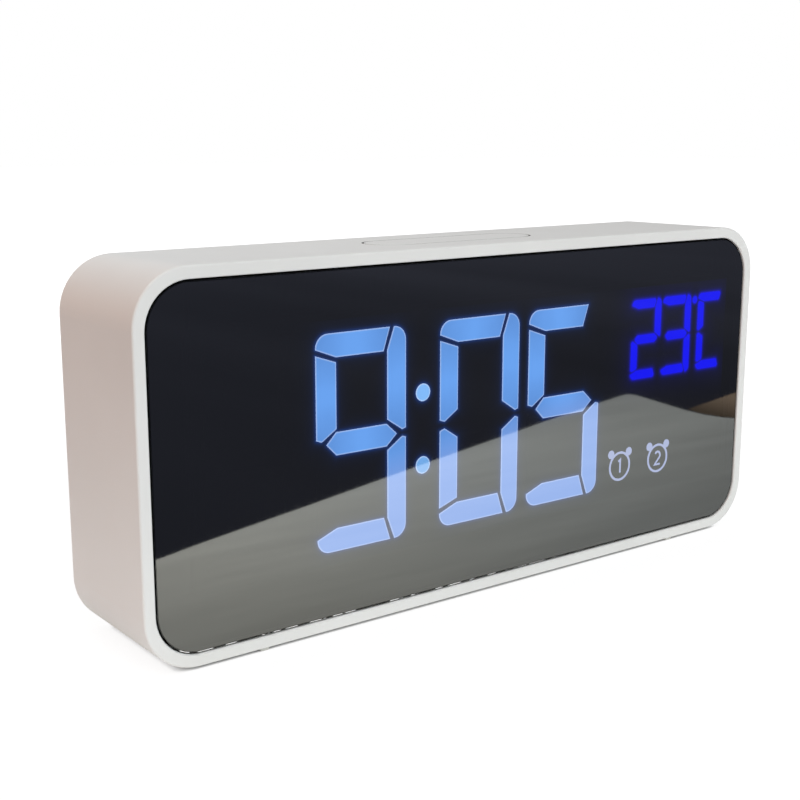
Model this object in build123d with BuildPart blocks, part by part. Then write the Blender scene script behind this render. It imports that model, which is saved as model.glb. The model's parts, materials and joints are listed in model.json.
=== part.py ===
from build123d import *
from math import radians, tan
import os

# A digital desk clock: a lit display behind a half-mirror, in a deep moulded case.
# Units are millimetres. The origin is at the middle of the resting face, X runs along the
# clock, the front faces -Y and Z is up.

# Case
case_width = 163.0
case_height = 73.0
case_depth = 31.0
case_corner_radius = 10.8
case_wall = 2.0
front_edge_radius = 0.45
rear_edge_radius = 0.8
rim_width = 2.4
rim_edge_chamfer = 0.2
mirror_wall = 1.6
overrun = 1.0
play = 0.25
screw_play = 0.05

# Mirror and its tape
mirror_thickness = 2.0
mirror_recess = 0.3
mirror_gap = 0.25
mirror_corner_radius = 8.6
mirror_edge_chamfer = 0.15
tape_thickness = 0.3
tape_outer_inset = 0.6
tape_inner_inset = 0.3

# Foot strips
foot_height = 0.6
foot_width = 1.8
foot_length = 28.0
foot_spacing = 113.0
foot_front_inset = 0.6
foot_groove = 0.5
foot_edge_radius = 0.25

# Display: time digits
digit_width = 21.5
digit_height = 43.1
digit_bar = 4.7
digit_pitch = 24.3
digit_corner_radius = 2.8
colon_place = -17.2
colon_space = 30.25
colon_dot_radius = 1.8
colon_dot_spacing = 15.0

# Display: temperature digits
small_width = 9.6
small_height = 18.2
small_bar = 1.95
small_corner_radius = 1.15
small_pitch = 10.3
small_left_place = 47.95
small_level = 12.1
unit_place = 70.5
degree_dot_radius = 0.8
degree_dot_place = 64.4
degree_dot_drop = 1.4

# Display: alarm symbols
symbol_radius = 5.6
symbol_left_place = 40.75
symbol_pitch = 12.8
symbol_level = -16.7

# Light box
light_box_width = 146.0
light_box_height = 49.0
light_box_depth = 7.0
light_box_shift = 2.8
light_box_corner_radius = 2.0
light_box_gap = 0.2
window_play = 0.4
cavity_taper = 5.0
small_cavity_taper = 2.5
lens_thickness = 1.0
lens_play = 0.1
peg_radius = 1.0
peg_inset = 1.7

# Display board and what it carries
board_thickness = 1.6
display_board_width = 152.0
display_board_height = 60.0
board_corner_radius = 1.0
board_post_radius = 2.3
board_post_spacing_x = 132.0
board_post_spacing_z = 54.6
chip_length = 1.6
chip_width = 0.8
chip_height = 0.7
small_chip_length = 0.8
small_chip_width = 0.4
small_chip_height = 0.4
driver_length = 17.8
driver_width = 7.5
driver_height = 2.2
driver_place = -30.0
driver_level = 14.0
driver_leg_count = 14
leg_pitch = 1.27
leg_width = 0.42
leg_thickness = 0.25
leg_reach = 1.3
leg_level = 1.0
crystal_radius = 1.0
crystal_length = 6.0
crystal_place = -12.0
crystal_lead_radius = 0.15
crystal_lead_length = 2.0
crystal_lead_spacing = 0.7
capacitor_radius = 3.15
capacitor_height = 5.4
capacitor_base = 6.6
capacitor_base_height = 0.9
capacitor_place = 62.0
capacitor_level = -14.0
can_edge_chamfer = 0.3

# Screws
screw_radius = 1.1
screw_length = 5.0
screw_head_radius = 2.0
screw_head_height = 1.3
cover_screw_radius = 1.3
cover_screw_length = 9.0
cover_screw_head_radius = 2.4
cover_screw_head_height = 1.2

# Back cover
cover_thickness = 2.0
cover_recess = 1.0
cover_post_radius = 3.0
cover_post_inset = 6.0
post_rib_thickness = 1.2
cover_lip_thickness = 1.2
cover_lip_depth = 2.0
cover_counterbore_depth = 1.3

# Snooze button
snooze_length = 42.0
snooze_width = 11.0
snooze_flange = 2.0
flange_thickness = 1.2
flange_gap = 0.1
snooze_travel = 0.5
snooze_edge_radius = 0.12
snooze_slot_radius = 0.35
plunger_gap = 0.05

# Tact switches
switch_side = 6.0
switch_height = 3.3
switch_plunger_radius = 1.6
switch_plunger_height = 0.3

# Snooze board
snooze_board_margin = 4.0
snooze_board_width = 8.8
snooze_board_shift = 0.8
snooze_board_thickness = 1.2
snooze_post_clearance = 1.7
snooze_post_radius = 2.3
snooze_stem_radius = 2.0
snooze_stem_length = 0.9

# Rear keys
key_names = ("set_key", "mode_key", "up_key", "down_key", "alarm_key")
key_radius = 3.0
key_pitch = 13.0
key_level = 61.5
key_rise = 0.8
key_travel = 0.4
key_flange = 0.9
key_stem_radius = 1.5
key_stem_length = 0.3
key_edge_chamfer = 0.4
key_dish_depth = 0.25
key_dish_radius = 2.2

# Key board
key_board_thickness = 1.2
key_board_height = 13.0
key_board_left = -55.0
key_board_right = 61.0
key_post_places = (-39.0, 39.5)
key_post_radius = 2.3

# Power socket
socket_place = 51.5
socket_width = 7.6
socket_height = 2.9
socket_wall = 0.3
socket_tongue_width = 3.8
socket_tongue_height = 0.6
socket_mouth_inset = 0.5
socket_corner_radius = 0.9

# Temperature sensor and vents
sensor_place = -48.5
sensor_radius = 1.2
sensor_length = 3.2
sensor_edge_chamfer = 0.7
sensor_leg_radius = 0.25
sensor_leg_spacing = 1.2
vent_length = 8.0
vent_width = 1.2
vent_pitch = 2.6
vent_count = 3

# Sounder
sounder_radius = 7.0
sounder_height = 4.2
sounder_place = -57.0
sounder_level = 30.0
sounder_port_radius = 1.0
sound_hole_radius = 0.7
sound_ring_radius = 3.4
sound_hole_count = 6

# Batteries, bay, contacts and door
cell_radius = 5.2
cell_length = 43.7
cell_tip_radius = 1.9
cell_tip_length = 0.8
cell_edge_radius = 0.6
cell_gap = 0.8
cell_count = 3
contact_space = 3.0
bay_wall = 1.2
bay_level = 29.0
bay_floor = 1.2
bay_play = 0.4
cradle_depth = 2.6
contact_thickness = 0.4
contact_height_share = 0.77
contact_width_share = 0.73
contact_leaf_width = 5.0
contact_leaf_span = 6.0
tag_width = 2.4
tag_length = 2.0
door_thickness = 1.6
door_overlap = 1.6
door_corner_radius = 2.5
door_play = 0.2
door_tab_width = 7.0
door_tab_spacing = 30.0
door_tab_reach = 0.8
door_tongue_width = 14.0
door_tongue_slit = 0.6
door_tongue_length = 6.0
door_grip_count = 4
door_grip_pitch = 1.5
door_grip_width = 0.7
door_grip_depth = 0.35

# Leads
lead_radius = 0.6
lead_bend_radius = 2.4
lead_offset = 3.4
cable_width = 9.0
cable_thickness = 0.9
cable_place = 25.0

# Places worked out from the sizes
front = -case_depth / 2
rear = case_depth / 2
middle = foot_height + case_height / 2
case_top = foot_height + case_height
mirror_front = front + mirror_recess
mirror_back = mirror_front + mirror_thickness
wall_front = mirror_back + tape_thickness
wall_back = wall_front + mirror_wall
box_front = mirror_back + light_box_gap
box_back = box_front + light_box_depth
board_back = box_back + board_thickness
cover_face = rear - cover_recess
cover_inner = cover_face - cover_thickness
top_inner = case_top - case_wall
pocket_width = case_width - 2 * rim_width
pocket_height = case_height - 2 * rim_width
window_width = light_box_width + 2 * window_play
window_height = light_box_height + 2 * window_play
inner_width = case_width - 2 * case_wall
inner_height = case_height - 2 * case_wall
inner_corner_radius = case_corner_radius - case_wall
cover_width = inner_width - 2 * play
cover_height = inner_height - 2 * play
cover_corner_radius = inner_corner_radius - play
cover_post_x = inner_width / 2 - cover_post_inset
cover_post_z = inner_height / 2 - cover_post_inset
board_post_x = board_post_spacing_x / 2
board_post_z = board_post_spacing_z / 2
colon_left = colon_place - colon_space / 2
colon_right = colon_place + colon_space / 2

# Snooze stack, from the top wall down
snooze_flange_top = top_inner - flange_gap
snooze_flange_bottom = snooze_flange_top - flange_thickness
snooze_stem_end = snooze_flange_bottom - snooze_stem_length
snooze_plunger_top = snooze_stem_end - snooze_travel - plunger_gap
snooze_board_top = snooze_plunger_top - switch_plunger_height - switch_height
snooze_board_bottom = snooze_board_top - snooze_board_thickness
snooze_post_reach = snooze_length / 2 + snooze_flange + snooze_post_clearance + snooze_post_radius
snooze_post_places = (-snooze_post_reach, snooze_post_reach)
snooze_board_length = 2 * (snooze_post_reach + snooze_board_margin)

# Key stack, from the back cover inwards
key_flange_back = cover_inner - flange_gap
key_flange_front = key_flange_back - flange_thickness
key_stem_end = key_flange_front - key_stem_length
key_plunger_tip = key_stem_end - key_travel - plunger_gap
key_board_back = key_plunger_tip - switch_plunger_height - switch_height
key_board_front = key_board_back - key_board_thickness
key_places = [key_pitch * (index - (len(key_names) - 1) / 2) for index in range(len(key_names))]

# Battery bay, from the door inwards
cell_pitch = 2 * cell_radius + cell_gap
contact_height = contact_height_share * 2 * cell_radius
contact_width = contact_width_share * 2 * cell_radius
door_inner = cover_face - door_thickness
cell_axis = door_inner - bay_play - cell_radius
bay_bottom = cell_axis - cell_radius - bay_play
bay_outside = bay_bottom - bay_floor
bay_length = cell_length + cell_tip_length + contact_thickness + contact_space
bay_height = cell_count * cell_pitch
bay_half = bay_length / 2
door_recess_width = bay_length + 2 * door_overlap
door_recess_height = bay_height + 2 * door_overlap
cell_levels = [bay_level + cell_pitch * (index - (cell_count - 1) / 2) for index in range(cell_count)]
cell_sides = [1 if index % 2 == 0 else -1 for index in range(cell_count)]

os.makedirs("parts", exist_ok=True)


def upright(y):
    """The plane at depth y, seen from the front: local X is X, local Y is Z."""
    return Plane.XZ.offset(-y)


def facing_rear(x, y, z):
    """A plane at a point with its normal towards the rear."""
    return Plane(origin=(x, y, z), x_dir=(-1, 0, 0), z_dir=(0, 1, 0))


def turned_about(x, z):
    """The level plane through height z whose local Y runs to the rear, for pieces turned about Y at x."""
    return Plane(origin=(x, 0, z), x_dir=(1, 0, 0), z_dir=(0, 0, 1))


def keep(piece, name):
    """Labels a finished piece and writes it."""
    piece.part.label = name
    export_step(piece.part, f"parts/{name}.step")


def screw(radius, length, head_radius, head_height):
    """A pan-head screw along Z, with its head above the origin."""
    with BuildPart() as fastener:
        with BuildSketch(Plane.XZ):
            with BuildLine():
                Polyline(
                    (0, -length),
                    (radius, -length),
                    (radius, 0),
                    (head_radius, 0),
                    (head_radius, head_height / 2),
                    (head_radius - head_height / 2, head_height),
                    (0, head_height),
                    close=True,
                )
            make_face()
        revolve(axis=Axis.Z)
    return fastener.part


# Segments of a digit. Each point is a side, a share of the bar from it, a level and a share
# of the bar from that. A side or a level of 0 is the digit's middle. The number after the
# points is the rounded corner.
segment_shares = {
    "a": (((-1, 0, 1, -0.62), (-1, 0, 1, 0), (1, -0.84, 1, 0), (1, -1.17, 1, -1), (-1, 1, 1, -1)), 1),
    "b": (((1, -0.62, 1, 0), (1, 0, 1, 0), (1, 0, 0, 0.2), (1, -0.19, 0, 0.14), (1, -0.98, 0, 0.66),
           (1, -0.98, 1, -0.97)), 1),
    "f": (((-1, 0, 1, -0.86), (-1, 1, 1, -1.2), (-1, 1, 0, 0.62), (-1, 0.27, 0, 0.15),
           (-1, 0, 0, 0.24)), None),
    "g": (((-1, 0.49, 0, 0), (-1, 0.98, 0, 0.49), (1, -1.02, 0, 0.49), (1, -0.48, 0, 0), (1, -1.02, 0, -0.49),
           (-1, 0.98, 0, -0.49)), None),
}
mirrored_segments = {"d": "a", "c": "b", "e": "f"}


def digit(width, height, bar, corner_radius, letters="abcdefg"):
    """The segments of one digit as seen from behind, with the digit's middle at the origin."""
    with BuildSketch() as outline:
        for letter in letters:
            shares, rounded = segment_shares[mirrored_segments.get(letter, letter)]
            way = -1 if letter in mirrored_segments else 1
            points = [
                (-side * width / 2 - along * bar, way * (level * height / 2 + up * bar))
                for side, along, level, up in shares
            ]
            radii = [corner_radius if index == rounded else 0 for index in range(len(points))]
            with BuildLine():
                FilletPolyline(*points, radius=radii, close=True)
            make_face()
    return outline.sketch


def narrowing(outline, depth, angle):
    """Solids that start as the faces of an outline and narrow by an angle over a depth."""
    inset = depth * tan(radians(angle))
    solids = []
    for face in outline.faces():
        far_face = offset(face, amount=-inset, kind=Kind.INTERSECTION).face()
        solids.append(loft([face, Pos(0, 0, depth) * far_face], ruled=True).solid())
    return solids


time_digit = digit(digit_width, digit_height, digit_bar, digit_corner_radius)
small_digit = digit(small_width, small_height, small_bar, small_corner_radius)
unit_digit = digit(small_width, small_height, small_bar, small_corner_radius, "adefg")

# Every lit field: its outline, its place on the light box and the taper of its cavity
dot_levels = (middle - colon_dot_spacing / 2, middle + colon_dot_spacing / 2)
small_middle = middle + small_level
degree_level = small_middle + small_height / 2 - degree_dot_drop
colon_dot = Circle(colon_dot_radius)
degree_dot = Circle(degree_dot_radius)
symbol_disc = Circle(symbol_radius)
fields = {
    "hour_tens_lenses": [(time_digit, colon_left - digit_pitch, middle, cavity_taper)],
    "hour_units_lenses": [(time_digit, colon_left, middle, cavity_taper)],
    "colon_lenses": [(colon_dot, colon_place, level, small_cavity_taper) for level in dot_levels],
    "minute_tens_lenses": [(time_digit, colon_right, middle, cavity_taper)],
    "minute_units_lenses": [(time_digit, colon_right + digit_pitch, middle, cavity_taper)],
    "temperature_lenses": [
        (small_digit, small_left_place, small_middle, small_cavity_taper),
        (small_digit, small_left_place + small_pitch, small_middle, small_cavity_taper),
        (degree_dot, degree_dot_place, degree_level, small_cavity_taper),
        (unit_digit, unit_place, small_middle, small_cavity_taper),
    ],
    "alarm_symbol_lenses": [
        (symbol_disc, symbol_left_place + index * symbol_pitch, middle + symbol_level, cavity_taper)
        for index in range(2)
    ],
}

# Case shell
with BuildPart() as housing_shell:
    with BuildSketch(upright(front)):
        with Locations((0, middle)):
            RectangleRounded(case_width, case_height, case_corner_radius)
    extrude(amount=-case_depth)
    fillet(housing_shell.faces().sort_by(Axis.Y)[0].edges(), front_edge_radius)
    fillet(housing_shell.faces().sort_by(Axis.Y)[-1].edges(), rear_edge_radius)
    with BuildSketch(upright(wall_back)):
        with Locations((0, middle)):
            RectangleRounded(inner_width, inner_height, inner_corner_radius)
    extrude(amount=-(rear - wall_back + overrun), mode=Mode.SUBTRACT)
    # Pocket that takes the mirror, and the window behind it
    with BuildSketch(upright(wall_front)):
        with Locations((0, middle)):
            RectangleRounded(pocket_width, pocket_height, mirror_corner_radius + mirror_gap)
    extrude(amount=wall_front - front + overrun, mode=Mode.SUBTRACT)
    chamfer(housing_shell.faces().sort_by(Axis.Y)[0].inner_wires()[0].edges(), rim_edge_chamfer)
    with BuildSketch(upright(wall_front - overrun)):
        with Locations((light_box_shift, middle)):
            RectangleRounded(window_width, window_height, light_box_corner_radius + window_play)
    extrude(amount=-(mirror_wall + 2 * overrun), mode=Mode.SUBTRACT)
    # Posts of the back cover, with ribs that tie them to the side walls
    with BuildSketch(upright(wall_back)):
        with Locations((0, middle)):
            with GridLocations(2 * cover_post_x, 2 * cover_post_z, 2, 2):
                Circle(cover_post_radius)
    extrude(amount=-(cover_inner - wall_back))
    with BuildSketch(upright(wall_back)):
        for side in (-1, 1):
            for way in (-1, 1):
                with Locations((side * (cover_post_x + cover_post_inset / 2), middle + way * cover_post_z)):
                    Rectangle(cover_post_inset + case_wall / 2, post_rib_thickness)
                with Locations((side * cover_post_x, middle + way * (cover_post_z + cover_post_inset / 2))):
                    Rectangle(post_rib_thickness, cover_post_inset + case_wall / 2)
    extrude(amount=-(cover_inner - cover_lip_depth - play - wall_back))
    with BuildSketch(upright(cover_inner)):
        with Locations((0, middle)):
            with GridLocations(2 * cover_post_x, 2 * cover_post_z, 2, 2):
                Circle(cover_screw_radius + screw_play)
    extrude(amount=cover_screw_length, mode=Mode.SUBTRACT)
    # Posts of the display board
    with BuildSketch(upright(wall_back)):
        with Locations((0, middle)):
            with GridLocations(2 * board_post_x, 2 * board_post_z, 2, 2):
                Circle(board_post_radius)
    extrude(amount=-(box_back - wall_back))
    with BuildSketch(upright(box_back)):
        with Locations((0, middle)):
            with GridLocations(2 * board_post_x, 2 * board_post_z, 2, 2):
                Circle(screw_radius + screw_play)
    extrude(amount=screw_length - board_thickness + plunger_gap, mode=Mode.SUBTRACT)
    # Snooze opening in the top wall, and the posts that carry the snooze board
    with BuildSketch(Plane.XY.offset(top_inner - overrun)):
        SlotOverall(snooze_length + 2 * play, snooze_width + 2 * play)
    extrude(amount=case_wall + 2 * overrun, mode=Mode.SUBTRACT)
    fillet(housing_shell.faces().sort_by(Axis.Z)[-1].inner_wires()[0].edges(), snooze_slot_radius)
    with BuildSketch(Plane.XY.offset(snooze_board_top)):
        with Locations(*[(x, snooze_board_shift) for x in snooze_post_places]):
            Circle(snooze_post_radius)
    extrude(amount=top_inner + case_wall / 2 - snooze_board_top)
    with BuildSketch(Plane.XY.offset(snooze_board_top)):
        with Locations(*[(x, snooze_board_shift) for x in snooze_post_places]):
            Circle(screw_radius + screw_play)
    extrude(amount=screw_length - snooze_board_thickness + plunger_gap, mode=Mode.SUBTRACT)
    # Grooves under the case for the foot strips
    with BuildSketch(Plane.XY.offset(foot_height + foot_groove)):
        for side in (-1, 1):
            with Locations((side * foot_spacing / 2, front + foot_front_inset + foot_length / 2)):
                Rectangle(foot_width, foot_length)
    extrude(amount=-(foot_groove + overrun), mode=Mode.SUBTRACT)
keep(housing_shell, "housing_shell")

# Foot strips
with BuildPart() as foot_strips:
    with BuildSketch(Plane.XY):
        for side in (-1, 1):
            with Locations((side * foot_spacing / 2, front + foot_front_inset + foot_length / 2)):
                Rectangle(foot_width, foot_length)
    extrude(amount=foot_height + foot_groove)
    fillet(foot_strips.edges().filter_by(Axis.Y).group_by(Axis.Z)[0], foot_edge_radius)
keep(foot_strips, "foot_strips")

# Half-mirror panel
mirror_width = pocket_width - 2 * mirror_gap
mirror_height = pocket_height - 2 * mirror_gap
with BuildPart() as mirror_panel:
    with BuildSketch(upright(mirror_front)):
        with Locations((0, middle)):
            RectangleRounded(mirror_width, mirror_height, mirror_corner_radius)
    extrude(amount=-mirror_thickness)
    chamfer(mirror_panel.faces().sort_by(Axis.Y)[0].edges(), mirror_edge_chamfer)
keep(mirror_panel, "mirror_panel")

# Tape frame between the mirror and the wall behind it
with BuildPart() as mirror_tape:
    with BuildSketch(upright(mirror_back)):
        with Locations((0, middle)):
            RectangleRounded(
                mirror_width - 2 * tape_outer_inset,
                mirror_height - 2 * tape_outer_inset,
                mirror_corner_radius - tape_outer_inset,
            )
        with Locations((light_box_shift, middle)):
            RectangleRounded(
                window_width + 2 * tape_inner_inset,
                window_height + 2 * tape_inner_inset,
                light_box_corner_radius + window_play,
                mode=Mode.SUBTRACT,
            )
    extrude(amount=-tape_thickness)
keep(mirror_tape, "mirror_tape")

# Light box: one cavity for each segment, narrowing towards its light
cavities = []
for field in fields.values():
    for outline, x, z, taper in field:
        place = facing_rear(x, box_front, z).location
        cavities += [place * solid for solid in narrowing(outline, light_box_depth, taper)]
peg_x = light_box_width / 2 - peg_inset
peg_z = light_box_height / 2 - peg_inset
with BuildPart() as light_box:
    with BuildSketch(upright(box_front)):
        with Locations((light_box_shift, middle)):
            RectangleRounded(light_box_width, light_box_height, light_box_corner_radius)
    extrude(amount=-light_box_depth)
    with BuildSketch(upright(box_back)):
        with Locations((light_box_shift, middle)):
            with GridLocations(2 * peg_x, 2 * peg_z, 2, 2):
                Circle(peg_radius)
    extrude(amount=-(board_thickness + plunger_gap))
    add(cavities, mode=Mode.SUBTRACT)
keep(light_box, "light_box")


def lens_set(field):
    """The lenses in the mouths of one field's cavities, small enough to seat in the narrowing walls."""
    with BuildPart() as lenses:
        for outline, x, z, taper in field:
            inset = lens_play + lens_thickness * tan(radians(taper))
            with BuildSketch(facing_rear(x, box_front, z)):
                add(outline)
                offset(amount=-inset, kind=Kind.INTERSECTION, mode=Mode.REPLACE)
            extrude(amount=lens_thickness)
    return lenses


for name, field in fields.items():
    keep(lens_set(field), name)

# Display board, notched round the posts of the back cover, with holes for screws and pegs
notch_x = cover_post_x - cover_post_radius - play
notch_z = cover_post_z - cover_post_radius - play
with BuildPart() as display_board:
    with BuildSketch(upright(box_back)):
        with Locations((0, middle)):
            RectangleRounded(display_board_width, display_board_height, board_corner_radius)
        with Locations((0, middle)):
            notch_spacing_x = 2 * notch_x + display_board_width
            notch_spacing_z = 2 * notch_z + display_board_height
            with GridLocations(notch_spacing_x, notch_spacing_z, 2, 2):
                Rectangle(display_board_width, display_board_height, mode=Mode.SUBTRACT)
            with GridLocations(2 * board_post_x, 2 * board_post_z, 2, 2):
                Circle(screw_radius + screw_play, mode=Mode.SUBTRACT)
        with Locations((light_box_shift, middle)):
            with GridLocations(2 * peg_x, 2 * peg_z, 2, 2):
                Circle(peg_radius + screw_play, mode=Mode.SUBTRACT)
    extrude(amount=-board_thickness)
keep(display_board, "display_board")

# Light-emitting chips, one at the foot of each cavity
chip_places = []
small_chip_places = []
for field in fields.values():
    for outline, x, z, taper in field:
        places = chip_places if taper == cavity_taper else small_chip_places
        centres = [face.center() for face in outline.faces()]
        places += [(x - centre.X, z + centre.Y) for centre in centres]
with BuildPart() as led_chips:
    with BuildSketch(upright(box_back)):
        with Locations(*chip_places):
            Rectangle(chip_length, chip_width)
    extrude(amount=chip_height)
    with BuildSketch(upright(box_back)):
        with Locations(*small_chip_places):
            Rectangle(small_chip_length, small_chip_width)
    extrude(amount=small_chip_height)
keep(led_chips, "led_chips")

# Clock chip: a moulded body with a row of bent legs on each long side
driver_z = middle + driver_level
with BuildPart() as clock_chip:
    with BuildSketch(upright(board_back + leg_thickness)):
        with Locations((driver_place, driver_z)):
            Rectangle(driver_length, driver_width)
    extrude(amount=-driver_height)
    chamfer(clock_chip.faces().sort_by(Axis.Y)[-1].edges(), leg_thickness)
    leg_y = board_back + leg_level
    for way in (-1, 1):
        edge = driver_z + way * (driver_width / 2 - leg_thickness)
        tip = driver_z + way * (driver_width / 2 + leg_reach)
        knee = driver_z + way * (driver_width / 2 + leg_reach / 2)
        for index in range(driver_leg_count):
            leg_x = driver_place + leg_pitch * (index - (driver_leg_count - 1) / 2)
            with BuildSketch(Plane.YZ.offset(leg_x - leg_width / 2)):
                with BuildLine():
                    Polyline(
                        (leg_y, edge),
                        (leg_y, knee - way * leg_thickness),
                        (board_back, knee),
                        (board_back, tip),
                        (board_back + leg_thickness, tip),
                        (board_back + leg_thickness, knee + way * leg_thickness),
                        (leg_y + leg_thickness, knee),
                        (leg_y + leg_thickness, edge),
                        close=True,
                    )
                make_face()
    extrude(amount=leg_width)
keep(clock_chip, "clock_chip")

# Crystal: a small can lying on the board, with two leads bent down to it
crystal_y = board_back + crystal_radius
crystal_end = crystal_place + crystal_length / 2
lead_end = crystal_end + crystal_lead_length - 2 * crystal_lead_radius
with BuildPart() as crystal:
    with BuildSketch(Plane.YZ.offset(crystal_place - crystal_length / 2)):
        with Locations((crystal_y, driver_z)):
            Circle(crystal_radius)
    extrude(amount=crystal_length)
    for way in (-1, 1):
        with BuildSketch(Plane.YZ.offset(crystal_end - crystal_lead_radius)):
            with Locations((crystal_y, driver_z + way * crystal_lead_spacing / 2)):
                Circle(crystal_lead_radius)
        extrude(amount=crystal_lead_length)
        with BuildSketch(upright(board_back)):
            with Locations((lead_end, driver_z + way * crystal_lead_spacing / 2)):
                Circle(crystal_lead_radius)
        extrude(amount=-crystal_radius)
keep(crystal, "crystal")

# Capacitor: a drawn can on a square base
capacitor_z = middle + capacitor_level
with BuildPart() as capacitor:
    with BuildSketch(upright(board_back)):
        with Locations((capacitor_place, capacitor_z)):
            Rectangle(capacitor_base, capacitor_base)
    extrude(amount=-capacitor_base_height)
    with BuildSketch(upright(board_back + capacitor_base_height)):
        with Locations((capacitor_place, capacitor_z)):
            Circle(capacitor_radius)
    extrude(amount=-capacitor_height)
    chamfer(capacitor.faces().sort_by(Axis.Y)[-1].edges(), can_edge_chamfer)
keep(capacitor, "capacitor")

# Sounder: a round can on the display board, with a port that faces the holes in the back cover
with BuildPart() as sounder:
    with BuildSketch(upright(board_back)):
        with Locations((sounder_place, sounder_level)):
            Circle(sounder_radius)
    extrude(amount=-sounder_height)
    chamfer(sounder.faces().sort_by(Axis.Y)[-1].edges(), can_edge_chamfer)
    with BuildSketch(upright(board_back + sounder_height)):
        with Locations((sounder_place, sounder_level)):
            Circle(sounder_port_radius)
    extrude(amount=overrun, mode=Mode.SUBTRACT)
keep(sounder, "sounder")

# Screws of the boards and of the back cover
small_screw = screw(screw_radius, screw_length, screw_head_radius, screw_head_height)
cover_screw = screw(
    cover_screw_radius, cover_screw_length, cover_screw_head_radius, cover_screw_head_height
)
cover_seat = cover_face - cover_counterbore_depth
corners = [(side, way) for side in (-1, 1) for way in (-1, 1)]


def screws(fastener, places):
    """Copies of one screw, driven in at each of the places."""
    with BuildPart() as group:
        with Locations(*places):
            add(fastener)
    return group


board_screw_places = [
    facing_rear(x * board_post_x, board_back, middle + z * board_post_z) for x, z in corners
]
cover_screw_places = [
    facing_rear(x * cover_post_x, cover_seat, middle + z * cover_post_z) for x, z in corners
]
key_screw_places = [Plane(origin=(x, key_board_front, key_level), z_dir=(0, -1, 0)) for x in key_post_places]
snooze_screw_places = [
    Plane(origin=(x, snooze_board_shift, snooze_board_bottom), z_dir=(0, 0, -1)) for x in snooze_post_places
]
keep(screws(small_screw, board_screw_places), "board_screws")
keep(screws(cover_screw, cover_screw_places), "cover_screws")
keep(screws(small_screw, key_screw_places), "key_board_screws")
keep(screws(small_screw, snooze_screw_places), "snooze_board_screws")

# Snooze button: an oval cap, flush with the top, with a flange that holds it in and a stem
with BuildPart() as snooze_button:
    with BuildSketch(Plane.XY.offset(snooze_flange_top)):
        SlotOverall(snooze_length, snooze_width)
    extrude(amount=case_top - snooze_flange_top)
    fillet(snooze_button.faces().sort_by(Axis.Z)[-1].edges(), snooze_edge_radius)
    with BuildSketch(Plane.XY.offset(snooze_flange_bottom)):
        SlotOverall(snooze_length + 2 * snooze_flange, snooze_width + 2 * snooze_flange)
    extrude(amount=flange_thickness)
    with BuildSketch(Plane.XY.offset(snooze_stem_end)):
        Circle(snooze_stem_radius)
    extrude(amount=snooze_stem_length)
keep(snooze_button, "snooze_button")

# Snooze board, carried by the posts under the top wall
with BuildPart() as snooze_board:
    with BuildSketch(Plane.XY.offset(snooze_board_bottom)):
        with Locations((0, snooze_board_shift)):
            RectangleRounded(snooze_board_length, snooze_board_width, board_corner_radius)
            with GridLocations(2 * snooze_post_reach, 0, 2, 1):
                Circle(screw_radius + screw_play, mode=Mode.SUBTRACT)
    extrude(amount=snooze_board_thickness)
keep(snooze_board, "snooze_board")


def tact_switches(planes):
    """Square switches with a round plunger, standing on the given planes."""
    with BuildPart() as switches:
        for plane in planes:
            with BuildSketch(plane):
                Rectangle(switch_side, switch_side)
        extrude(amount=switch_height)
        for plane in planes:
            with BuildSketch(plane.offset(switch_height)):
                Circle(switch_plunger_radius)
        extrude(amount=switch_plunger_height)
    return switches


keep(tact_switches([Plane.XY.offset(snooze_board_top)]), "snooze_switch")
keep(tact_switches([facing_rear(x, key_board_back, key_level) for x in key_places]), "key_switches")

# Rear keys: round caps with a shallow dish, a flange behind the cover and a stem
key_tip = cover_face + key_rise
for name, x in zip(key_names, key_places):
    with BuildPart() as key:
        with BuildSketch(turned_about(x, key_level)):
            with BuildLine():
                Polyline(
                    (0, key_stem_end),
                    (key_stem_radius, key_stem_end),
                    (key_stem_radius, key_flange_front),
                    (key_radius + key_flange, key_flange_front),
                    (key_radius + key_flange, key_flange_back),
                    (key_radius, key_flange_back),
                    (key_radius, key_tip - key_edge_chamfer),
                    (key_radius - key_edge_chamfer, key_tip),
                    (key_dish_radius, key_tip),
                    (0, key_tip - key_dish_depth),
                    close=True,
                )
            make_face()
        revolve(axis=Axis((x, 0, key_level), (0, 1, 0)))
    keep(key, name)

# Key board, carried by posts on the back cover
key_board_middle = (key_board_left + key_board_right) / 2
with BuildPart() as key_board:
    with BuildSketch(upright(key_board_front)):
        with Locations((key_board_middle, key_level)):
            RectangleRounded(key_board_right - key_board_left, key_board_height, board_corner_radius)
        with Locations(*[(x, key_level) for x in key_post_places]):
            Circle(screw_radius + screw_play, mode=Mode.SUBTRACT)
    extrude(amount=-key_board_thickness)
keep(key_board, "key_board")

# Power socket: a folded metal shell with a tongue, standing on the key board
socket_mouth = cover_face - socket_mouth_inset
with BuildPart() as power_socket:
    with BuildSketch(upright(key_board_back)):
        with Locations((socket_place, key_level)):
            RectangleRounded(socket_width, socket_height, socket_corner_radius)
    extrude(amount=-(socket_mouth - key_board_back))
    with BuildSketch(upright(key_board_back + socket_height)):
        with Locations((socket_place, key_level)):
            RectangleRounded(
                socket_width - 2 * socket_wall,
                socket_height - 2 * socket_wall,
                socket_corner_radius - socket_wall,
            )
    extrude(amount=-(socket_mouth - key_board_back), mode=Mode.SUBTRACT)
    with BuildSketch(upright(key_board_back)):
        with Locations((socket_place, key_level)):
            Rectangle(socket_tongue_width, socket_tongue_height)
    extrude(amount=-(socket_mouth - key_board_back - socket_mouth_inset))
keep(power_socket, "power_socket")

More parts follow.
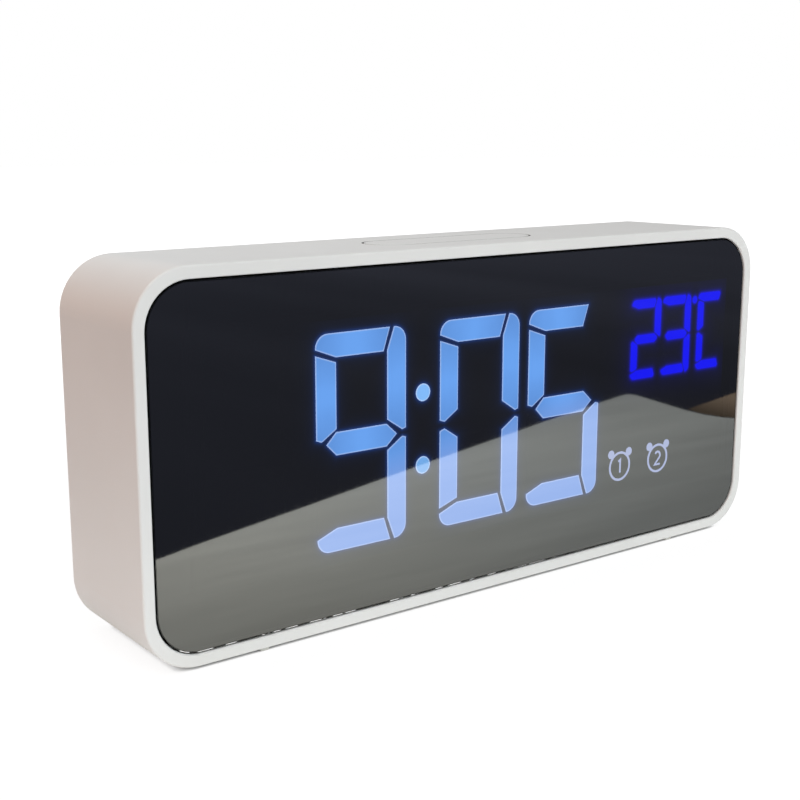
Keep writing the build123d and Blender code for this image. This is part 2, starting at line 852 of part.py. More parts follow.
# Temperature sensor: a bead behind the vents, on two legs from the key board
sensor_rear = cover_inner - play
sensor_front = sensor_rear - sensor_length
with BuildPart() as temperature_sensor:
    with BuildSketch(turned_about(sensor_place, key_level)):
        with BuildLine():
            Polyline(
                (0, sensor_front),
                (sensor_radius - sensor_edge_chamfer, sensor_front),
                (sensor_radius, sensor_front + sensor_edge_chamfer),
                (sensor_radius, sensor_rear - sensor_edge_chamfer),
                (sensor_radius - sensor_edge_chamfer, sensor_rear),
                (0, sensor_rear),
                close=True,
            )
        make_face()
    revolve(axis=Axis((sensor_place, 0, key_level), (0, 1, 0)))
    with BuildSketch(upright(key_board_back)):
        with Locations((sensor_place, key_level)):
            with GridLocations(sensor_leg_spacing, 0, 2, 1):
                Circle(sensor_leg_radius)
    extrude(amount=-(sensor_front + sensor_length / 2 - key_board_back))
keep(temperature_sensor, "temperature_sensor")

# Back cover with its lip, battery bay, key board posts and every opening
lip_width = cover_width - 2 * cover_lip_thickness
lip_height = cover_height - 2 * cover_lip_thickness
lip_corner_radius = cover_corner_radius - cover_lip_thickness
tab_spots = [(side * door_tab_spacing / 2, bay_level - door_recess_height / 2) for side in (-1, 1)]
with BuildPart() as back_cover:
    with BuildSketch(upright(cover_inner)):
        with Locations((0, middle)):
            RectangleRounded(cover_width, cover_height, cover_corner_radius)
    extrude(amount=-cover_thickness)
    with BuildSketch(upright(cover_inner)):
        with Locations((0, middle)):
            RectangleRounded(cover_width, cover_height, cover_corner_radius)
            RectangleRounded(lip_width, lip_height, lip_corner_radius, mode=Mode.SUBTRACT)
    extrude(amount=cover_lip_depth)
    # Bay walls and floor
    with BuildSketch(upright(bay_outside)):
        with Locations((0, bay_level)):
            Rectangle(bay_length + 2 * bay_wall, bay_height + 2 * bay_wall)
    extrude(amount=-(door_inner - bay_outside))
    # Key board posts
    with BuildSketch(upright(cover_inner)):
        with Locations(*[(x, key_level) for x in key_post_places]):
            Circle(key_post_radius)
    extrude(amount=cover_inner - key_board_back)
    with BuildSketch(upright(key_board_back)):
        with Locations(*[(x, key_level) for x in key_post_places]):
            Circle(screw_radius + screw_play)
    extrude(amount=-(screw_length - key_board_thickness + plunger_gap), mode=Mode.SUBTRACT)
    # Recess of the door, with notches for its tabs and a scoop for a fingertip
    with BuildSketch(upright(cover_face)):
        with Locations((0, bay_level)):
            RectangleRounded(door_recess_width, door_recess_height, door_corner_radius + door_play)
        with Locations(*tab_spots):
            Rectangle(door_tab_width + 2 * door_play, 2 * (door_tab_reach + door_play))
        with Locations((0, bay_level + door_recess_height / 2)):
            SlotOverall(door_tongue_width, 2 * door_tab_reach + door_tongue_length / 2)
    extrude(amount=door_thickness, mode=Mode.SUBTRACT)
    # Inside of the bay, with cradles that follow the cells
    with BuildSketch(upright(cell_axis - cradle_depth)):
        with Locations((0, bay_level)):
            Rectangle(bay_length, bay_height)
    extrude(amount=-(cover_face - cell_axis + cradle_depth), mode=Mode.SUBTRACT)
    with BuildSketch(Plane.YZ.offset(-bay_half)):
        with Locations(*[(cell_axis, level) for level in cell_levels]):
            Circle(cell_radius + bay_play)
    extrude(amount=bay_length, mode=Mode.SUBTRACT)
    # Holes for keys, socket, screws, sounder and vents
    with BuildSketch(upright(cover_face)):
        with Locations(*[(x, key_level) for x in key_places]):
            Circle(key_radius + play)
        with Locations((socket_place, key_level)):
            RectangleRounded(socket_width + 2 * play, socket_height + 2 * play, socket_corner_radius + play)
        with Locations((0, middle)):
            with GridLocations(2 * cover_post_x, 2 * cover_post_z, 2, 2):
                Circle(cover_screw_radius + screw_play)
        with Locations((sensor_place, key_level)):
            with GridLocations(0, vent_pitch, 1, vent_count):
                SlotOverall(vent_length, vent_width)
        with Locations((sounder_place, sounder_level)):
            Circle(sound_hole_radius)
            with PolarLocations(sound_ring_radius, sound_hole_count):
                Circle(sound_hole_radius)
    extrude(amount=cover_thickness + flange_gap, mode=Mode.SUBTRACT)
    with BuildSketch(upright(cover_face)):
        with Locations((0, middle)):
            with GridLocations(2 * cover_post_x, 2 * cover_post_z, 2, 2):
                Circle(cover_screw_head_radius + play)
    extrude(amount=cover_counterbore_depth, mode=Mode.SUBTRACT)
    # Slots for the terminal tags
    with BuildSketch(upright(bay_bottom + overrun)):
        for side, level in ((1, cell_levels[-1]), (-1, cell_levels[0])):
            with Locations((side * (bay_half - contact_thickness / 2), level)):
                Rectangle(contact_thickness + 2 * screw_play, tag_width + 2 * screw_play)
    extrude(amount=bay_floor + 2 * overrun, mode=Mode.SUBTRACT)
keep(back_cover, "back_cover")

# Battery door with locating tabs, a spring tongue and grip grooves
door_width = door_recess_width - 2 * door_play
door_height = door_recess_height - 2 * door_play
door_top = bay_level + door_height / 2
with BuildPart() as battery_door:
    with BuildSketch(upright(door_inner)):
        with Locations((0, bay_level)):
            RectangleRounded(door_width, door_height, door_corner_radius)
        with Locations(*[(x, z + door_play) for x, z in tab_spots]):
            Rectangle(door_tab_width, 2 * door_tab_reach)
        with Locations((0, door_top - door_tongue_length / 2)):
            with GridLocations(door_tongue_width + door_tongue_slit, 0, 2, 1):
                Rectangle(door_tongue_slit, door_tongue_length, mode=Mode.SUBTRACT)
    extrude(amount=-door_thickness)
    with BuildSketch(upright(cover_face)):
        with Locations((0, door_top - door_tongue_length / 2)):
            with GridLocations(0, door_grip_pitch, 1, door_grip_count):
                Rectangle(door_tongue_width - 2 * door_tongue_slit, door_grip_width)
    extrude(amount=door_grip_depth, mode=Mode.SUBTRACT)
keep(battery_door, "battery_door")

# Cells, each pushed against its positive contact by the leaf at the other end
cell_shift = (contact_space - contact_thickness) / 2
for index, (level, side) in enumerate(zip(cell_levels, cell_sides)):
    base = side * (cell_shift - (cell_length + cell_tip_length) / 2)
    shoulder = base + side * cell_length
    with BuildPart() as cell:
        with BuildSketch(Plane(origin=(0, cell_axis, level), x_dir=(1, 0, 0), z_dir=(0, 0, 1))):
            with BuildLine():
                Polyline(
                    (base, 0),
                    (base, cell_radius - cell_edge_radius),
                    (base + side * cell_edge_radius, cell_radius),
                    (shoulder - side * cell_edge_radius, cell_radius),
                    (shoulder, cell_radius - cell_edge_radius),
                    (shoulder, cell_tip_radius),
                    (shoulder + side * cell_tip_length, cell_tip_radius),
                    (shoulder + side * cell_tip_length, 0),
                    close=True,
                )
            make_face()
        revolve(axis=Axis((0, cell_axis, level), (1, 0, 0)))
    keep(cell, f"battery_cell_{index + 1}")

# Contacts: a plate at each end of each cell, with a bowed leaf for the base and a pip for the tip
with BuildPart() as battery_contacts:
    for level, side in zip(cell_levels, cell_sides):
        for end in (-1, 1):
            wall = end * bay_half
            with BuildSketch(Plane.XY.offset(level - contact_height / 2)):
                with Locations((wall - end * contact_thickness / 2, cell_axis)):
                    Rectangle(contact_thickness, contact_width)
            extrude(amount=contact_height)
            if end != side:
                foot = wall - end * contact_thickness / 2
                peak = wall - end * (contact_space - screw_play)
                leaf_low = cell_axis - contact_leaf_span / 2
                leaf_high = cell_axis + contact_leaf_span / 2
                with BuildSketch(Plane.XY.offset(level - contact_leaf_width / 2)):
                    with BuildLine():
                        ThreePointArc((foot, leaf_low), (peak, cell_axis), (foot, leaf_high))
                        Line((foot, leaf_high), (foot, leaf_high - contact_thickness))
                        ThreePointArc(
                            (foot, leaf_high - contact_thickness),
                            (peak + end * contact_thickness, cell_axis),
                            (foot, leaf_low + contact_thickness),
                        )
                        Line((foot, leaf_low + contact_thickness), (foot, leaf_low))
                    make_face()
                extrude(amount=contact_leaf_width)
    for side, level in ((1, cell_levels[-1]), (-1, cell_levels[0])):
        with BuildSketch(upright(bay_outside - tag_length)):
            with Locations((side * (bay_half - contact_thickness / 2), level)):
                Rectangle(contact_thickness, tag_width)
        extrude(amount=-(cell_axis - bay_outside + tag_length))
keep(battery_contacts, "battery_contacts")

# Battery leads, from the tags to the display board
with BuildPart() as battery_leads:
    for side, level in ((1, cell_levels[-1]), (-1, cell_levels[0])):
        start = (side * bay_half, bay_outside - tag_length / 2)
        corner = (side * (bay_half + lead_offset), bay_outside - tag_length / 2)
        finish = (side * (bay_half + lead_offset), board_back)
        with BuildLine(Plane.XY.offset(level)) as lead_path:
            FilletPolyline(start, corner, finish, radius=lead_bend_radius)
        with BuildSketch(Plane(origin=lead_path.line @ 0, z_dir=(side, 0, 0))):
            Circle(lead_radius)
        sweep(path=lead_path.line)
keep(battery_leads, "battery_leads")

# Flat cable between the boards
cable_low = key_level - key_board_height / 2 + cable_thickness
cable_high = cable_low + board_thickness
with BuildPart() as flat_cable:
    with BuildSketch(Plane.YZ.offset(cable_place - cable_width / 2)):
        with BuildLine():
            FilletPolyline(
                (board_back, cable_low),
                (board_back + lead_bend_radius, cable_low),
                (key_board_front - lead_bend_radius, cable_high),
                (key_board_front, cable_high),
                radius=lead_bend_radius / 2,
            )
        trace(line_width=cable_thickness)
    extrude(amount=cable_width)
keep(flat_cable, "flat_cable")
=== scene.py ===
"""A digital LED desk clock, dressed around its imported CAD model.

The case is satin-painted ABS. A dark half-mirror panel covers its front, and behind the panel lit lenses
stand in the black face of a light box. Each sub-assembly is a class that holds its own sizes, builds what
the CAD leaves to this script and dresses the CAD nodes that belong to it. Sizes are in millimetres, and the
meshes are in metres.
"""

from __future__ import annotations

import json
import logging
from collections.abc import Iterable, Iterator, Sequence
from dataclasses import dataclass, field
from enum import Enum
from typing import Any

import bmesh
import bpy
import numpy as np
from bpy.types import Material, Node, NodeOutputs, NodeSocket, NodeTree, Object
from mathutils import Matrix, Vector
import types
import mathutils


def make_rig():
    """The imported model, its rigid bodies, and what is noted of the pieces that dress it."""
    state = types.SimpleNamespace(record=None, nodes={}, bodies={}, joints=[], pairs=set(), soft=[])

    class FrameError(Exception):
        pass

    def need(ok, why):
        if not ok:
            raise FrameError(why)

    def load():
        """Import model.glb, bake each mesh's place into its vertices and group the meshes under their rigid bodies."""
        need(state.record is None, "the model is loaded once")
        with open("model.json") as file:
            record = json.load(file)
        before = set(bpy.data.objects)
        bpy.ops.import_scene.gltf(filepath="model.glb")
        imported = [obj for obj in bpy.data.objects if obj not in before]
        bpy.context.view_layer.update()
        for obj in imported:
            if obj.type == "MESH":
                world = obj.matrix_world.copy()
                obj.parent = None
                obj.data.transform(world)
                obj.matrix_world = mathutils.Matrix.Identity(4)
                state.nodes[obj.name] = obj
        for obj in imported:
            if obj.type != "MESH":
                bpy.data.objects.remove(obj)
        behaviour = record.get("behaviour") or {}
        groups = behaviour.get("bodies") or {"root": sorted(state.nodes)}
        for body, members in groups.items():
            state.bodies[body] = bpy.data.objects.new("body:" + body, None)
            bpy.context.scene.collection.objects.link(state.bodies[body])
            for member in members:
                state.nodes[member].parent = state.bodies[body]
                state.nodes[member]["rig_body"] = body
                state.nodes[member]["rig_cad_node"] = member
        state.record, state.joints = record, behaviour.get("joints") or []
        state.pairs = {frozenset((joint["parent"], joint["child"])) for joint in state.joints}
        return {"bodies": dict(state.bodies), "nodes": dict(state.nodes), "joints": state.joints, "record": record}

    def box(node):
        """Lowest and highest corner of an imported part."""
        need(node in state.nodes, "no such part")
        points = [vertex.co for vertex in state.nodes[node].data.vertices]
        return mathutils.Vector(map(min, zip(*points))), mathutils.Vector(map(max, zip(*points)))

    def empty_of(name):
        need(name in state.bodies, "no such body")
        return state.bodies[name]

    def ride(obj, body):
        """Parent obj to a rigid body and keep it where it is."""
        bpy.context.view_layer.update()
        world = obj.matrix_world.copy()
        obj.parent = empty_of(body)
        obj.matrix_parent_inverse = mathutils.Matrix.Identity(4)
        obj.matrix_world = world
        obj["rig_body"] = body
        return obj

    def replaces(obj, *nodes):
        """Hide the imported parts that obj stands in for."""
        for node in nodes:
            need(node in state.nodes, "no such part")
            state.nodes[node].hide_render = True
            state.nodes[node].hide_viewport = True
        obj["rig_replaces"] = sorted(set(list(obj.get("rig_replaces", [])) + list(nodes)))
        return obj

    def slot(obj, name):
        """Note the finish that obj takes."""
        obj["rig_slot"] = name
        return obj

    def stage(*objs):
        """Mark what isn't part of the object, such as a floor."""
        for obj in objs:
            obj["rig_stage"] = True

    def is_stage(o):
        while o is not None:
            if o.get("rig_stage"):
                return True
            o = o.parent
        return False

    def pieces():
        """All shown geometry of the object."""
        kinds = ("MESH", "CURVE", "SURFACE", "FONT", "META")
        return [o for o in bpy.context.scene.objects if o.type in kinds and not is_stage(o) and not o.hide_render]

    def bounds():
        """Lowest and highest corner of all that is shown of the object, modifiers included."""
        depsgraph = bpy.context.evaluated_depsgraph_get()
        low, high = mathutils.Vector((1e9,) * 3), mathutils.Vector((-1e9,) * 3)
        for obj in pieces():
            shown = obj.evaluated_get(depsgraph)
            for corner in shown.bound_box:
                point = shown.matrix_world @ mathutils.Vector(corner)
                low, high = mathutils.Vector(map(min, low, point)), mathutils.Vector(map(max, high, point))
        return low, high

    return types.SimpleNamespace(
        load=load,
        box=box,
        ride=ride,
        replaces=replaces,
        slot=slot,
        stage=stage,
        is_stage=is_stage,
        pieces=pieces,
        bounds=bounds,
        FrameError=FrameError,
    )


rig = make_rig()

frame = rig.load()
CAD_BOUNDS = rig.bounds()
MM = 0.001
SHARP_DEGREES = 35.0
log = logging.getLogger("clock")


# Colour, nodes and meshes


def linear(code: str) -> tuple[float, float, float, float]:
    """Turns an sRGB hex colour into linear light.

    Args:
        code: The colour as "#rrggbb".

    Returns:
        Red, green, blue and an alpha of 1.
    """
    shares = np.array([int(code[at : at + 2], 16) for at in (1, 3, 5)]) / 255
    light = np.where(shares <= 0.04045, shares / 12.92, ((shares + 0.055) / 1.055) ** 2.4)
    return (*(float(part) for part in light), 1.0)


def add_node(
    tree: NodeTree, kind: str, *values: Any, stops: Iterable[tuple[float, str]] = (), **settings: Any
) -> Node:
    """Adds one shader node, sets its values and joins its inputs.

    A socket or a node is joined, a hex colour becomes linear light, and any other value is set. A node
    stands for its first output in use.

    Args:
        tree: The node tree of the material.
        kind: The node's type, without the leading "ShaderNode".
        values: What its inputs in use take, in their order.
        stops: Places and hex colours of a colour ramp.
        settings: Its properties, and its inputs by name, with "_" for a space.

    Returns:
        The new node.
    """
    node = tree.nodes.new("ShaderNode" + kind)
    named = {}
    for key, value in settings.items():
        if key.replace("_", " ") in node.inputs:
            named[key.replace("_", " ")] = value
        else:
            setattr(node, key, value)
    in_use = [socket for socket in node.inputs if socket.enabled]
    pairs = [*zip(in_use, values), *((node.inputs[name], value) for name, value in named.items())]
    for socket, value in pairs:
        if isinstance(value, Node):
            value = next(output for output in value.outputs if output.enabled)
        if isinstance(value, NodeSocket):
            tree.links.new(value, socket)
        else:
            socket.default_value = linear(value) if isinstance(value, str) else value
    for index, (place, code) in enumerate(stops):
        elements = node.color_ramp.elements
        element = elements[index] if index < len(elements) else elements.new(place)
        element.position = place
        element.color = linear(code)
    return node


def per_metre(size_mm: float) -> float:
    """The scale at which one pattern cell measures size_mm on Object coordinates."""
    return 1 / (size_mm * MM)


@dataclass(frozen=True)
class Span:
    """A value that goes evenly from low to high between two places in millimetres."""

    start: float
    end: float
    low: float = 0.0
    high: float = 1.0

    def __iter__(self) -> Iterator[float]:
        """Both places in metres and both values, in the order that a Map Range node takes them."""
        return iter((self.start * MM, self.end * MM, self.low, self.high))


def empty_material(name: str) -> Material:
    """Makes a material with no nodes.

    Args:
        name: The material's name.

    Returns:
        The new material.
    """
    material = bpy.data.materials.new(name)
    material.use_nodes = True
    material.node_tree.nodes.clear()
    return material


def make_piece(
    name: str,
    points: np.ndarray,
    faces: np.ndarray,
    stock: Stock,
    slot: str,
    looks: dict[str, np.ndarray] | None = None,
    body: str = "housing",
) -> Object:
    """Puts computed points and faces into a mesh, closes its seams and makes it ride on a body.

    Args:
        name: The piece's name.
        points: Points in millimetres, as an array whose last axis is x, y, z.
        faces: Point numbers of the faces, one row each.
        stock: The finish of the whole piece.
        slot: The record's material slot that the finish stands for.
        looks: One number for each point that the finish reads, by name.
        body: The CAD body that carries the piece.

    Returns:
        The piece's object, at the origin.
    """
    mesh = bpy.data.meshes.new(name)
    mesh.from_pydata((points.reshape(-1, 3) * MM).tolist(), [], faces.tolist())
    for key, values in (looks or {}).items():
        layer = mesh.attributes.new(key, "FLOAT", "POINT")
        layer.data.foreach_set("value", values.astype(np.float32))
    work = bmesh.new()
    work.from_mesh(mesh)
    bmesh.ops.remove_doubles(work, verts=work.verts, dist=1e-7)
    bmesh.ops.dissolve_degenerate(work, edges=work.edges, dist=1e-8)
    bmesh.ops.recalc_face_normals(work, faces=work.faces)
    work.to_mesh(mesh)
    work.free()
    mesh.shade_smooth()
    mesh.set_sharp_from_angle(angle=np.radians(SHARP_DEGREES))
    mesh.materials.append(finish(stock))
    piece = bpy.data.objects.new(name, mesh)
    bpy.context.scene.collection.objects.link(piece)
    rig.ride(piece, body)
    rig.slot(piece, slot)
    log.info("%s made with %d faces in %s", name, len(faces), stock.value.name)
    return piece


def grid_faces(rows: int, columns: int, wrap_rows: bool = False, wrap_columns: bool = False) -> np.ndarray:
    """The quads of a grid of points.

    Args:
        rows: Points along the first axis.
        columns: Points along the second axis.
        wrap_rows: Whether the last row joins the first.
        wrap_columns: Whether the last column joins the first.

    Returns:
        Four point numbers for each quad.
    """
    numbers = np.arange(rows * columns).reshape(rows, columns)
    if wrap_rows:
        numbers = np.vstack((numbers, numbers[:1]))
    if wrap_columns:
        numbers = np.hstack((numbers, numbers[:, :1]))
    corners = (numbers[:-1, :-1], numbers[1:, :-1], numbers[1:, 1:], numbers[:-1, 1:])
    return np.stack([corner.ravel() for corner in corners], axis=1)


def rounded_outline(corners: np.ndarray, radii: np.ndarray, steps: int = 8) -> np.ndarray:
    """Rounds the corners of a flat outline.

    Each corner gives way to an arc that touches both of its sides. The arc starts before the corner, by the
    radius over the tangent of half the corner's angle. A radius of zero keeps the corner.

    Args:
        corners: The outline's corners, in order.
        radii: One radius for each corner.
        steps: Points on each arc.

    Returns:
        The outline's points, in order.
    """
    points = []
    neighbours = zip(np.roll(corners, 1, 0), corners, np.roll(corners, -1, 0), radii)
    for before, corner, after, radius in neighbours:
        if radius == 0:
            points.append(corner[None])
            continue
        back = (before - corner) / np.linalg.norm(before - corner)
        ahead = (after - corner) / np.linalg.norm(after - corner)
        half = np.arccos(np.clip(back @ ahead, -1, 1)) / 2
        centre = corner + (back + ahead) / np.linalg.norm(back + ahead) * radius / np.sin(half)
        start = corner + back * radius / np.tan(half) - centre
        end = corner + ahead * radius / np.tan(half) - centre
        sweep = np.arctan2(start[0] * end[1] - start[1] * end[0], start @ end)
        turn = np.linspace(0, sweep, steps)[:, None]
        points.append(centre + np.cos(turn) * start + np.sin(turn) * np.array((-start[1], start[0])))
    return np.vstack(points)


def outline_distance(points: np.ndarray, outline: np.ndarray) -> np.ndarray:
    """The distance from flat points to a closed outline.

    For each point, it is the least distance to any side of the outline.

    Args:
        points: Points as an array of count by 2.
        outline: The outline's corners.

    Returns:
        One distance for each point.
    """
    sides = np.roll(outline, -1, 0) - outline
    lengths = np.maximum((sides**2).sum(1), 1e-12)
    least = np.full(len(points), np.inf)
    for start, side, length in zip(outline, sides, lengths):
        share = np.clip(((points - start) @ side) / length, 0, 1)
        least = np.minimum(least, np.linalg.norm(points - start - share[:, None] * side, axis=1))
    return least


def clustered(count: int) -> np.ndarray:
    """Shares from 0 to 1 that crowd towards both ends, as half a cosine wave does."""
    return (1 - np.cos(np.linspace(0, np.pi, count))) / 2


def joined(parts: Sequence[tuple[np.ndarray, np.ndarray]]) -> tuple[np.ndarray, np.ndarray]:
    """Joins the meshes of several parts.

    Args:
        parts: For each part its points, one row each, and its faces.

    Returns:
        All points and all faces.
    """
    starts = np.cumsum([0] + [len(points) for points, _ in parts[:-1]])
    points = np.concatenate([points for points, _ in parts])
    return points, np.concatenate([faces + start for (_, faces), start in zip(parts, starts)])


# Finishes


@dataclass(frozen=True)
class Finish:
    """What every finish has: a name that says material and process."""

    name: str = "finish"

    def material(self) -> Material:
        """Builds the material from the finish's own shader.

        Returns:
            The new material.
        """
        material = empty_material(self.name)
        place = add_node(material.node_tree, "TexCoord").outputs["Object"]
        add_node(material.node_tree, "OutputMaterial", self.shader(material.node_tree, place))
        return material

    def shader(self, tree: NodeTree, place: NodeSocket) -> Node:
        """Adds the finish's nodes.

        Args:
            tree: The material's node tree.
            place: Its Object coordinates.

        Returns:
            The node of the whole surface.
        """
        raise NotImplementedError


@dataclass(frozen=True)
class MouldedPlastic(Finish):
    """Injection-moulded ABS, painted or left as the mould gives it.

    A fine grain breaks up the highlight, a broad drift keeps large faces from looking flat, and the paint or
    the spark-eroded mould sets how tight the highlight is.
    """

    name: str = "abs_moulded"
    color: str = "#d8d9d6"
    drift_color: str = "#d2d3d0"
    grain_mm: float = 0.35
    drift_mm: float = 30.0
    roughness: float = 0.42
    roughness_spread: float = 0.06
    bump: float = 0.05
    bump_mm: float = 0.01
    grain_noise: tuple[float, float] = (3.0, 0.6)
    drift_stops: tuple[float, float] = (0.35, 0.65)
    ior: float = 1.5

    def shader(self, tree: NodeTree, place: NodeSocket) -> Node:
        """Grain for the bump and roughness, and drift for the colour.

        Args:
            tree: The material's node tree.
            place: Its Object coordinates.

        Returns:
            The node of the whole surface.
        """
        grain = add_node(tree, "TexNoise", place, per_metre(self.grain_mm), *self.grain_noise)
        drift = add_node(tree, "TexNoise", place, per_metre(self.drift_mm))
        low, high = self.roughness - self.roughness_spread, self.roughness + self.roughness_spread
        return add_node(
            tree,
            "BsdfPrincipled",
            add_node(tree, "ValToRGB", drift, stops=zip(self.drift_stops, (self.color, self.drift_color))),
            Roughness=add_node(tree, "MapRange", grain, To_Min=low, To_Max=high),
            IOR=self.ior,
            Normal=add_node(tree, "Bump", self.bump, self.bump_mm * MM, Height=grain),
        )


@dataclass(frozen=True)
class HalfMirrorAcrylic(Finish):
    """Cast acrylic sheet, with a vacuum-coated half mirror in front and black ink behind a clear window.

    The coating gives back about a fifth of the light, and the smoked sheet lets over half of the rest
    through. The sawn edge is dark, apart from a painted glint: broken white on the left of its lower
    chamfer and of a thin border of the face.
    """

    name: str = "acrylic_half_mirror"
    front_mm: float = -15.2
    back_mm: float = -13.2
    skin_mm: float = 0.01
    chamfer_mm: float = 0.15
    panel_half_mm: tuple[float, float] = (78.85, 33.85)
    corner_mm: float = 8.6
    # The coating stops short of the edge, and the bare border mirrors less
    share: Span = Span(0.3, 0.35, 0.07, 0.2)
    smoke: str = "#c9ccd2"
    mirror_tint: str = "#fbfcff"
    mirror_roughness: float = 0.032
    ripple_mm: float = 40.0
    ripple_rise_mm: float = 0.2
    ripple: float = 0.03
    ink: str = "#020202"
    window_centre_mm: tuple[float, float] = (2.8, 37.1)
    window_half_mm: tuple[float, float] = (72.6, 24.1)
    edge: str = "#0c0d0d"
    # A painted glint: white, broken up by noise of this size, between these levels
    glint: str = "#ffffff"
    glint_mm: float = 2.4
    glint_levels: tuple[float, float] = (0.48, 0.54)
    # A face looks down where the Z of its normal is under this
    down: float = -0.5
    # The painted glint shows on the left of the lower edge, on its chamfer and on a thin border of the face
    glint_side: Span = Span(30.0, -10.0)
    glint_border: Span = Span(0.22, 0.18)
    glint_height: Span = Span(6.0, 5.0)

    def shader(self, tree: NodeTree, place: NodeSocket) -> Node:
        """The place along Y picks mirror in front, window and ink behind, and edge between them.

        Args:
            tree: The material's node tree.
            place: Its Object coordinates.

        Returns:
            The node of the whole surface.
        """
        axes = add_node(tree, "SeparateXYZ", place).outputs
        # Painted glint: noise breaks it up, and it fades out towards the right
        glint_breaks = add_node(tree, "TexNoise", place, per_metre(self.glint_mm))
        glint_breaks = add_node(tree, "MapRange", glint_breaks, *self.glint_levels)
        left = add_node(tree, "MapRange", axes["X"], *self.glint_side)
        worn = add_node(tree, "Math", glint_breaks, left, operation="MULTIPLY")
        rear, front = (self.back_mm - self.skin_mm) * MM, (self.front_mm + self.skin_mm) * MM
        at_rear = add_node(tree, "Math", axes["Y"], rear, operation="GREATER_THAN")
        at_front = add_node(tree, "Math", axes["Y"], front, operation="LESS_THAN")
        edge, rear = self.sawn_edge(tree, axes, worn), self.inked_rear(tree, axes)
        sides = add_node(tree, "MixShader", at_rear, edge, rear)
        return add_node(tree, "MixShader", at_front, sides, self.coated_face(tree, place, axes, worn))

    def sawn_edge(self, tree: NodeTree, axes: NodeOutputs, worn: Node) -> Node:
        """The dark edge, with a painted glint where its chamfer looks down.

        Args:
            tree: The material's node tree.
            axes: The sockets of the place, by axis.
            worn: Where the painted glint shows.

        Returns:
            The edge's shader.
        """
        normal = add_node(tree, "SeparateXYZ", add_node(tree, "NewGeometry").outputs["Normal"])
        lower = add_node(tree, "Math", normal.outputs["Z"], self.down, operation="LESS_THAN")
        chamfer = (self.front_mm + self.chamfer_mm) * MM
        outer = add_node(tree, "Math", axes["Y"], chamfer, operation="LESS_THAN")
        both = add_node(tree, "Math", lower, outer, operation="MULTIPLY")
        white = add_node(tree, "Math", worn, both, operation="MULTIPLY")
        return add_node(
            tree, "BsdfDiffuse", add_node(tree, "Mix", white, self.edge, self.glint, data_type="RGBA")
        )

    def inked_rear(self, tree: NodeTree, axes: NodeOutputs) -> Node:
        """Black ink, and the clear window within it.

        Args:
            tree: The material's node tree.
            axes: The sockets of the place, by axis.

        Returns:
            The rear's shader.
        """
        inside = 1.0
        for axis, centre, half in zip("XZ", self.window_centre_mm, self.window_half_mm):
            offset = add_node(tree, "Math", axes[axis], centre * MM, operation="SUBTRACT")
            size = add_node(tree, "Math", offset, operation="ABSOLUTE")
            near = add_node(tree, "Math", size, half * MM, operation="LESS_THAN")
            inside = add_node(tree, "Math", inside, near, operation="MULTIPLY")
        ink = add_node(tree, "BsdfDiffuse", self.ink)
        return add_node(tree, "MixShader", inside, ink, add_node(tree, "BsdfTransparent", "#ffffff"))

    def coated_face(self, tree: NodeTree, place: NodeSocket, axes: NodeOutputs, worn: Node) -> Node:
        """Mirror and smoked sheet, with a border that mirrors less and takes a painted glint.

        How far a point lies inside the panel's rounded outline: the corner's middle is taken from the
        absolute place, what is negative is cut to zero, and the length of the rest is taken from the corner
        radius.

        Args:
            tree: The material's node tree.
            place: Its Object coordinates.
            axes: The sockets of the place, by axis.
            worn: Where the painted glint shows.

        Returns:
            The face's shader.
        """
        half_x, half_z = ((half - self.corner_mm) * MM for half in self.panel_half_mm)
        lowered = (0.0, 0.0, -self.window_centre_mm[1] * MM)
        point = add_node(tree, "VectorMath", place, (1.0, 0.0, 1.0), lowered, operation="MULTIPLY_ADD")
        point = add_node(tree, "VectorMath", point, operation="ABSOLUTE")
        point = add_node(tree, "VectorMath", point, (half_x, 0.0, half_z), operation="SUBTRACT")
        point = add_node(tree, "VectorMath", point, (0.0, 0.0, 0.0), operation="MAXIMUM")
        reach = add_node(tree, "VectorMath", point, operation="LENGTH")
        inset = add_node(tree, "Math", self.corner_mm * MM, reach, operation="SUBTRACT")
        ripple = add_node(tree, "TexNoise", place, per_metre(self.ripple_mm), Detail=1.0)
        wave = add_node(tree, "Bump", self.ripple, self.ripple_rise_mm * MM, Height=ripple)
        mirror = add_node(tree, "BsdfGlossy", self.mirror_tint, self.mirror_roughness, Normal=wave)
        share = add_node(tree, "MapRange", inset, *self.share)
        coated = add_node(tree, "MixShader", share, add_node(tree, "BsdfTransparent", self.smoke), mirror)
        # Painted glint on a thin border of the face, near the lower edge
        border = worn
        for socket, span in ((inset, self.glint_border), (axes["Z"], self.glint_height)):
            near = add_node(tree, "MapRange", socket, *span)
            border = add_node(tree, "Math", border, near, operation="MULTIPLY")
        return add_node(tree, "MixShader", border, coated, add_node(tree, "BsdfDiffuse", self.glint))


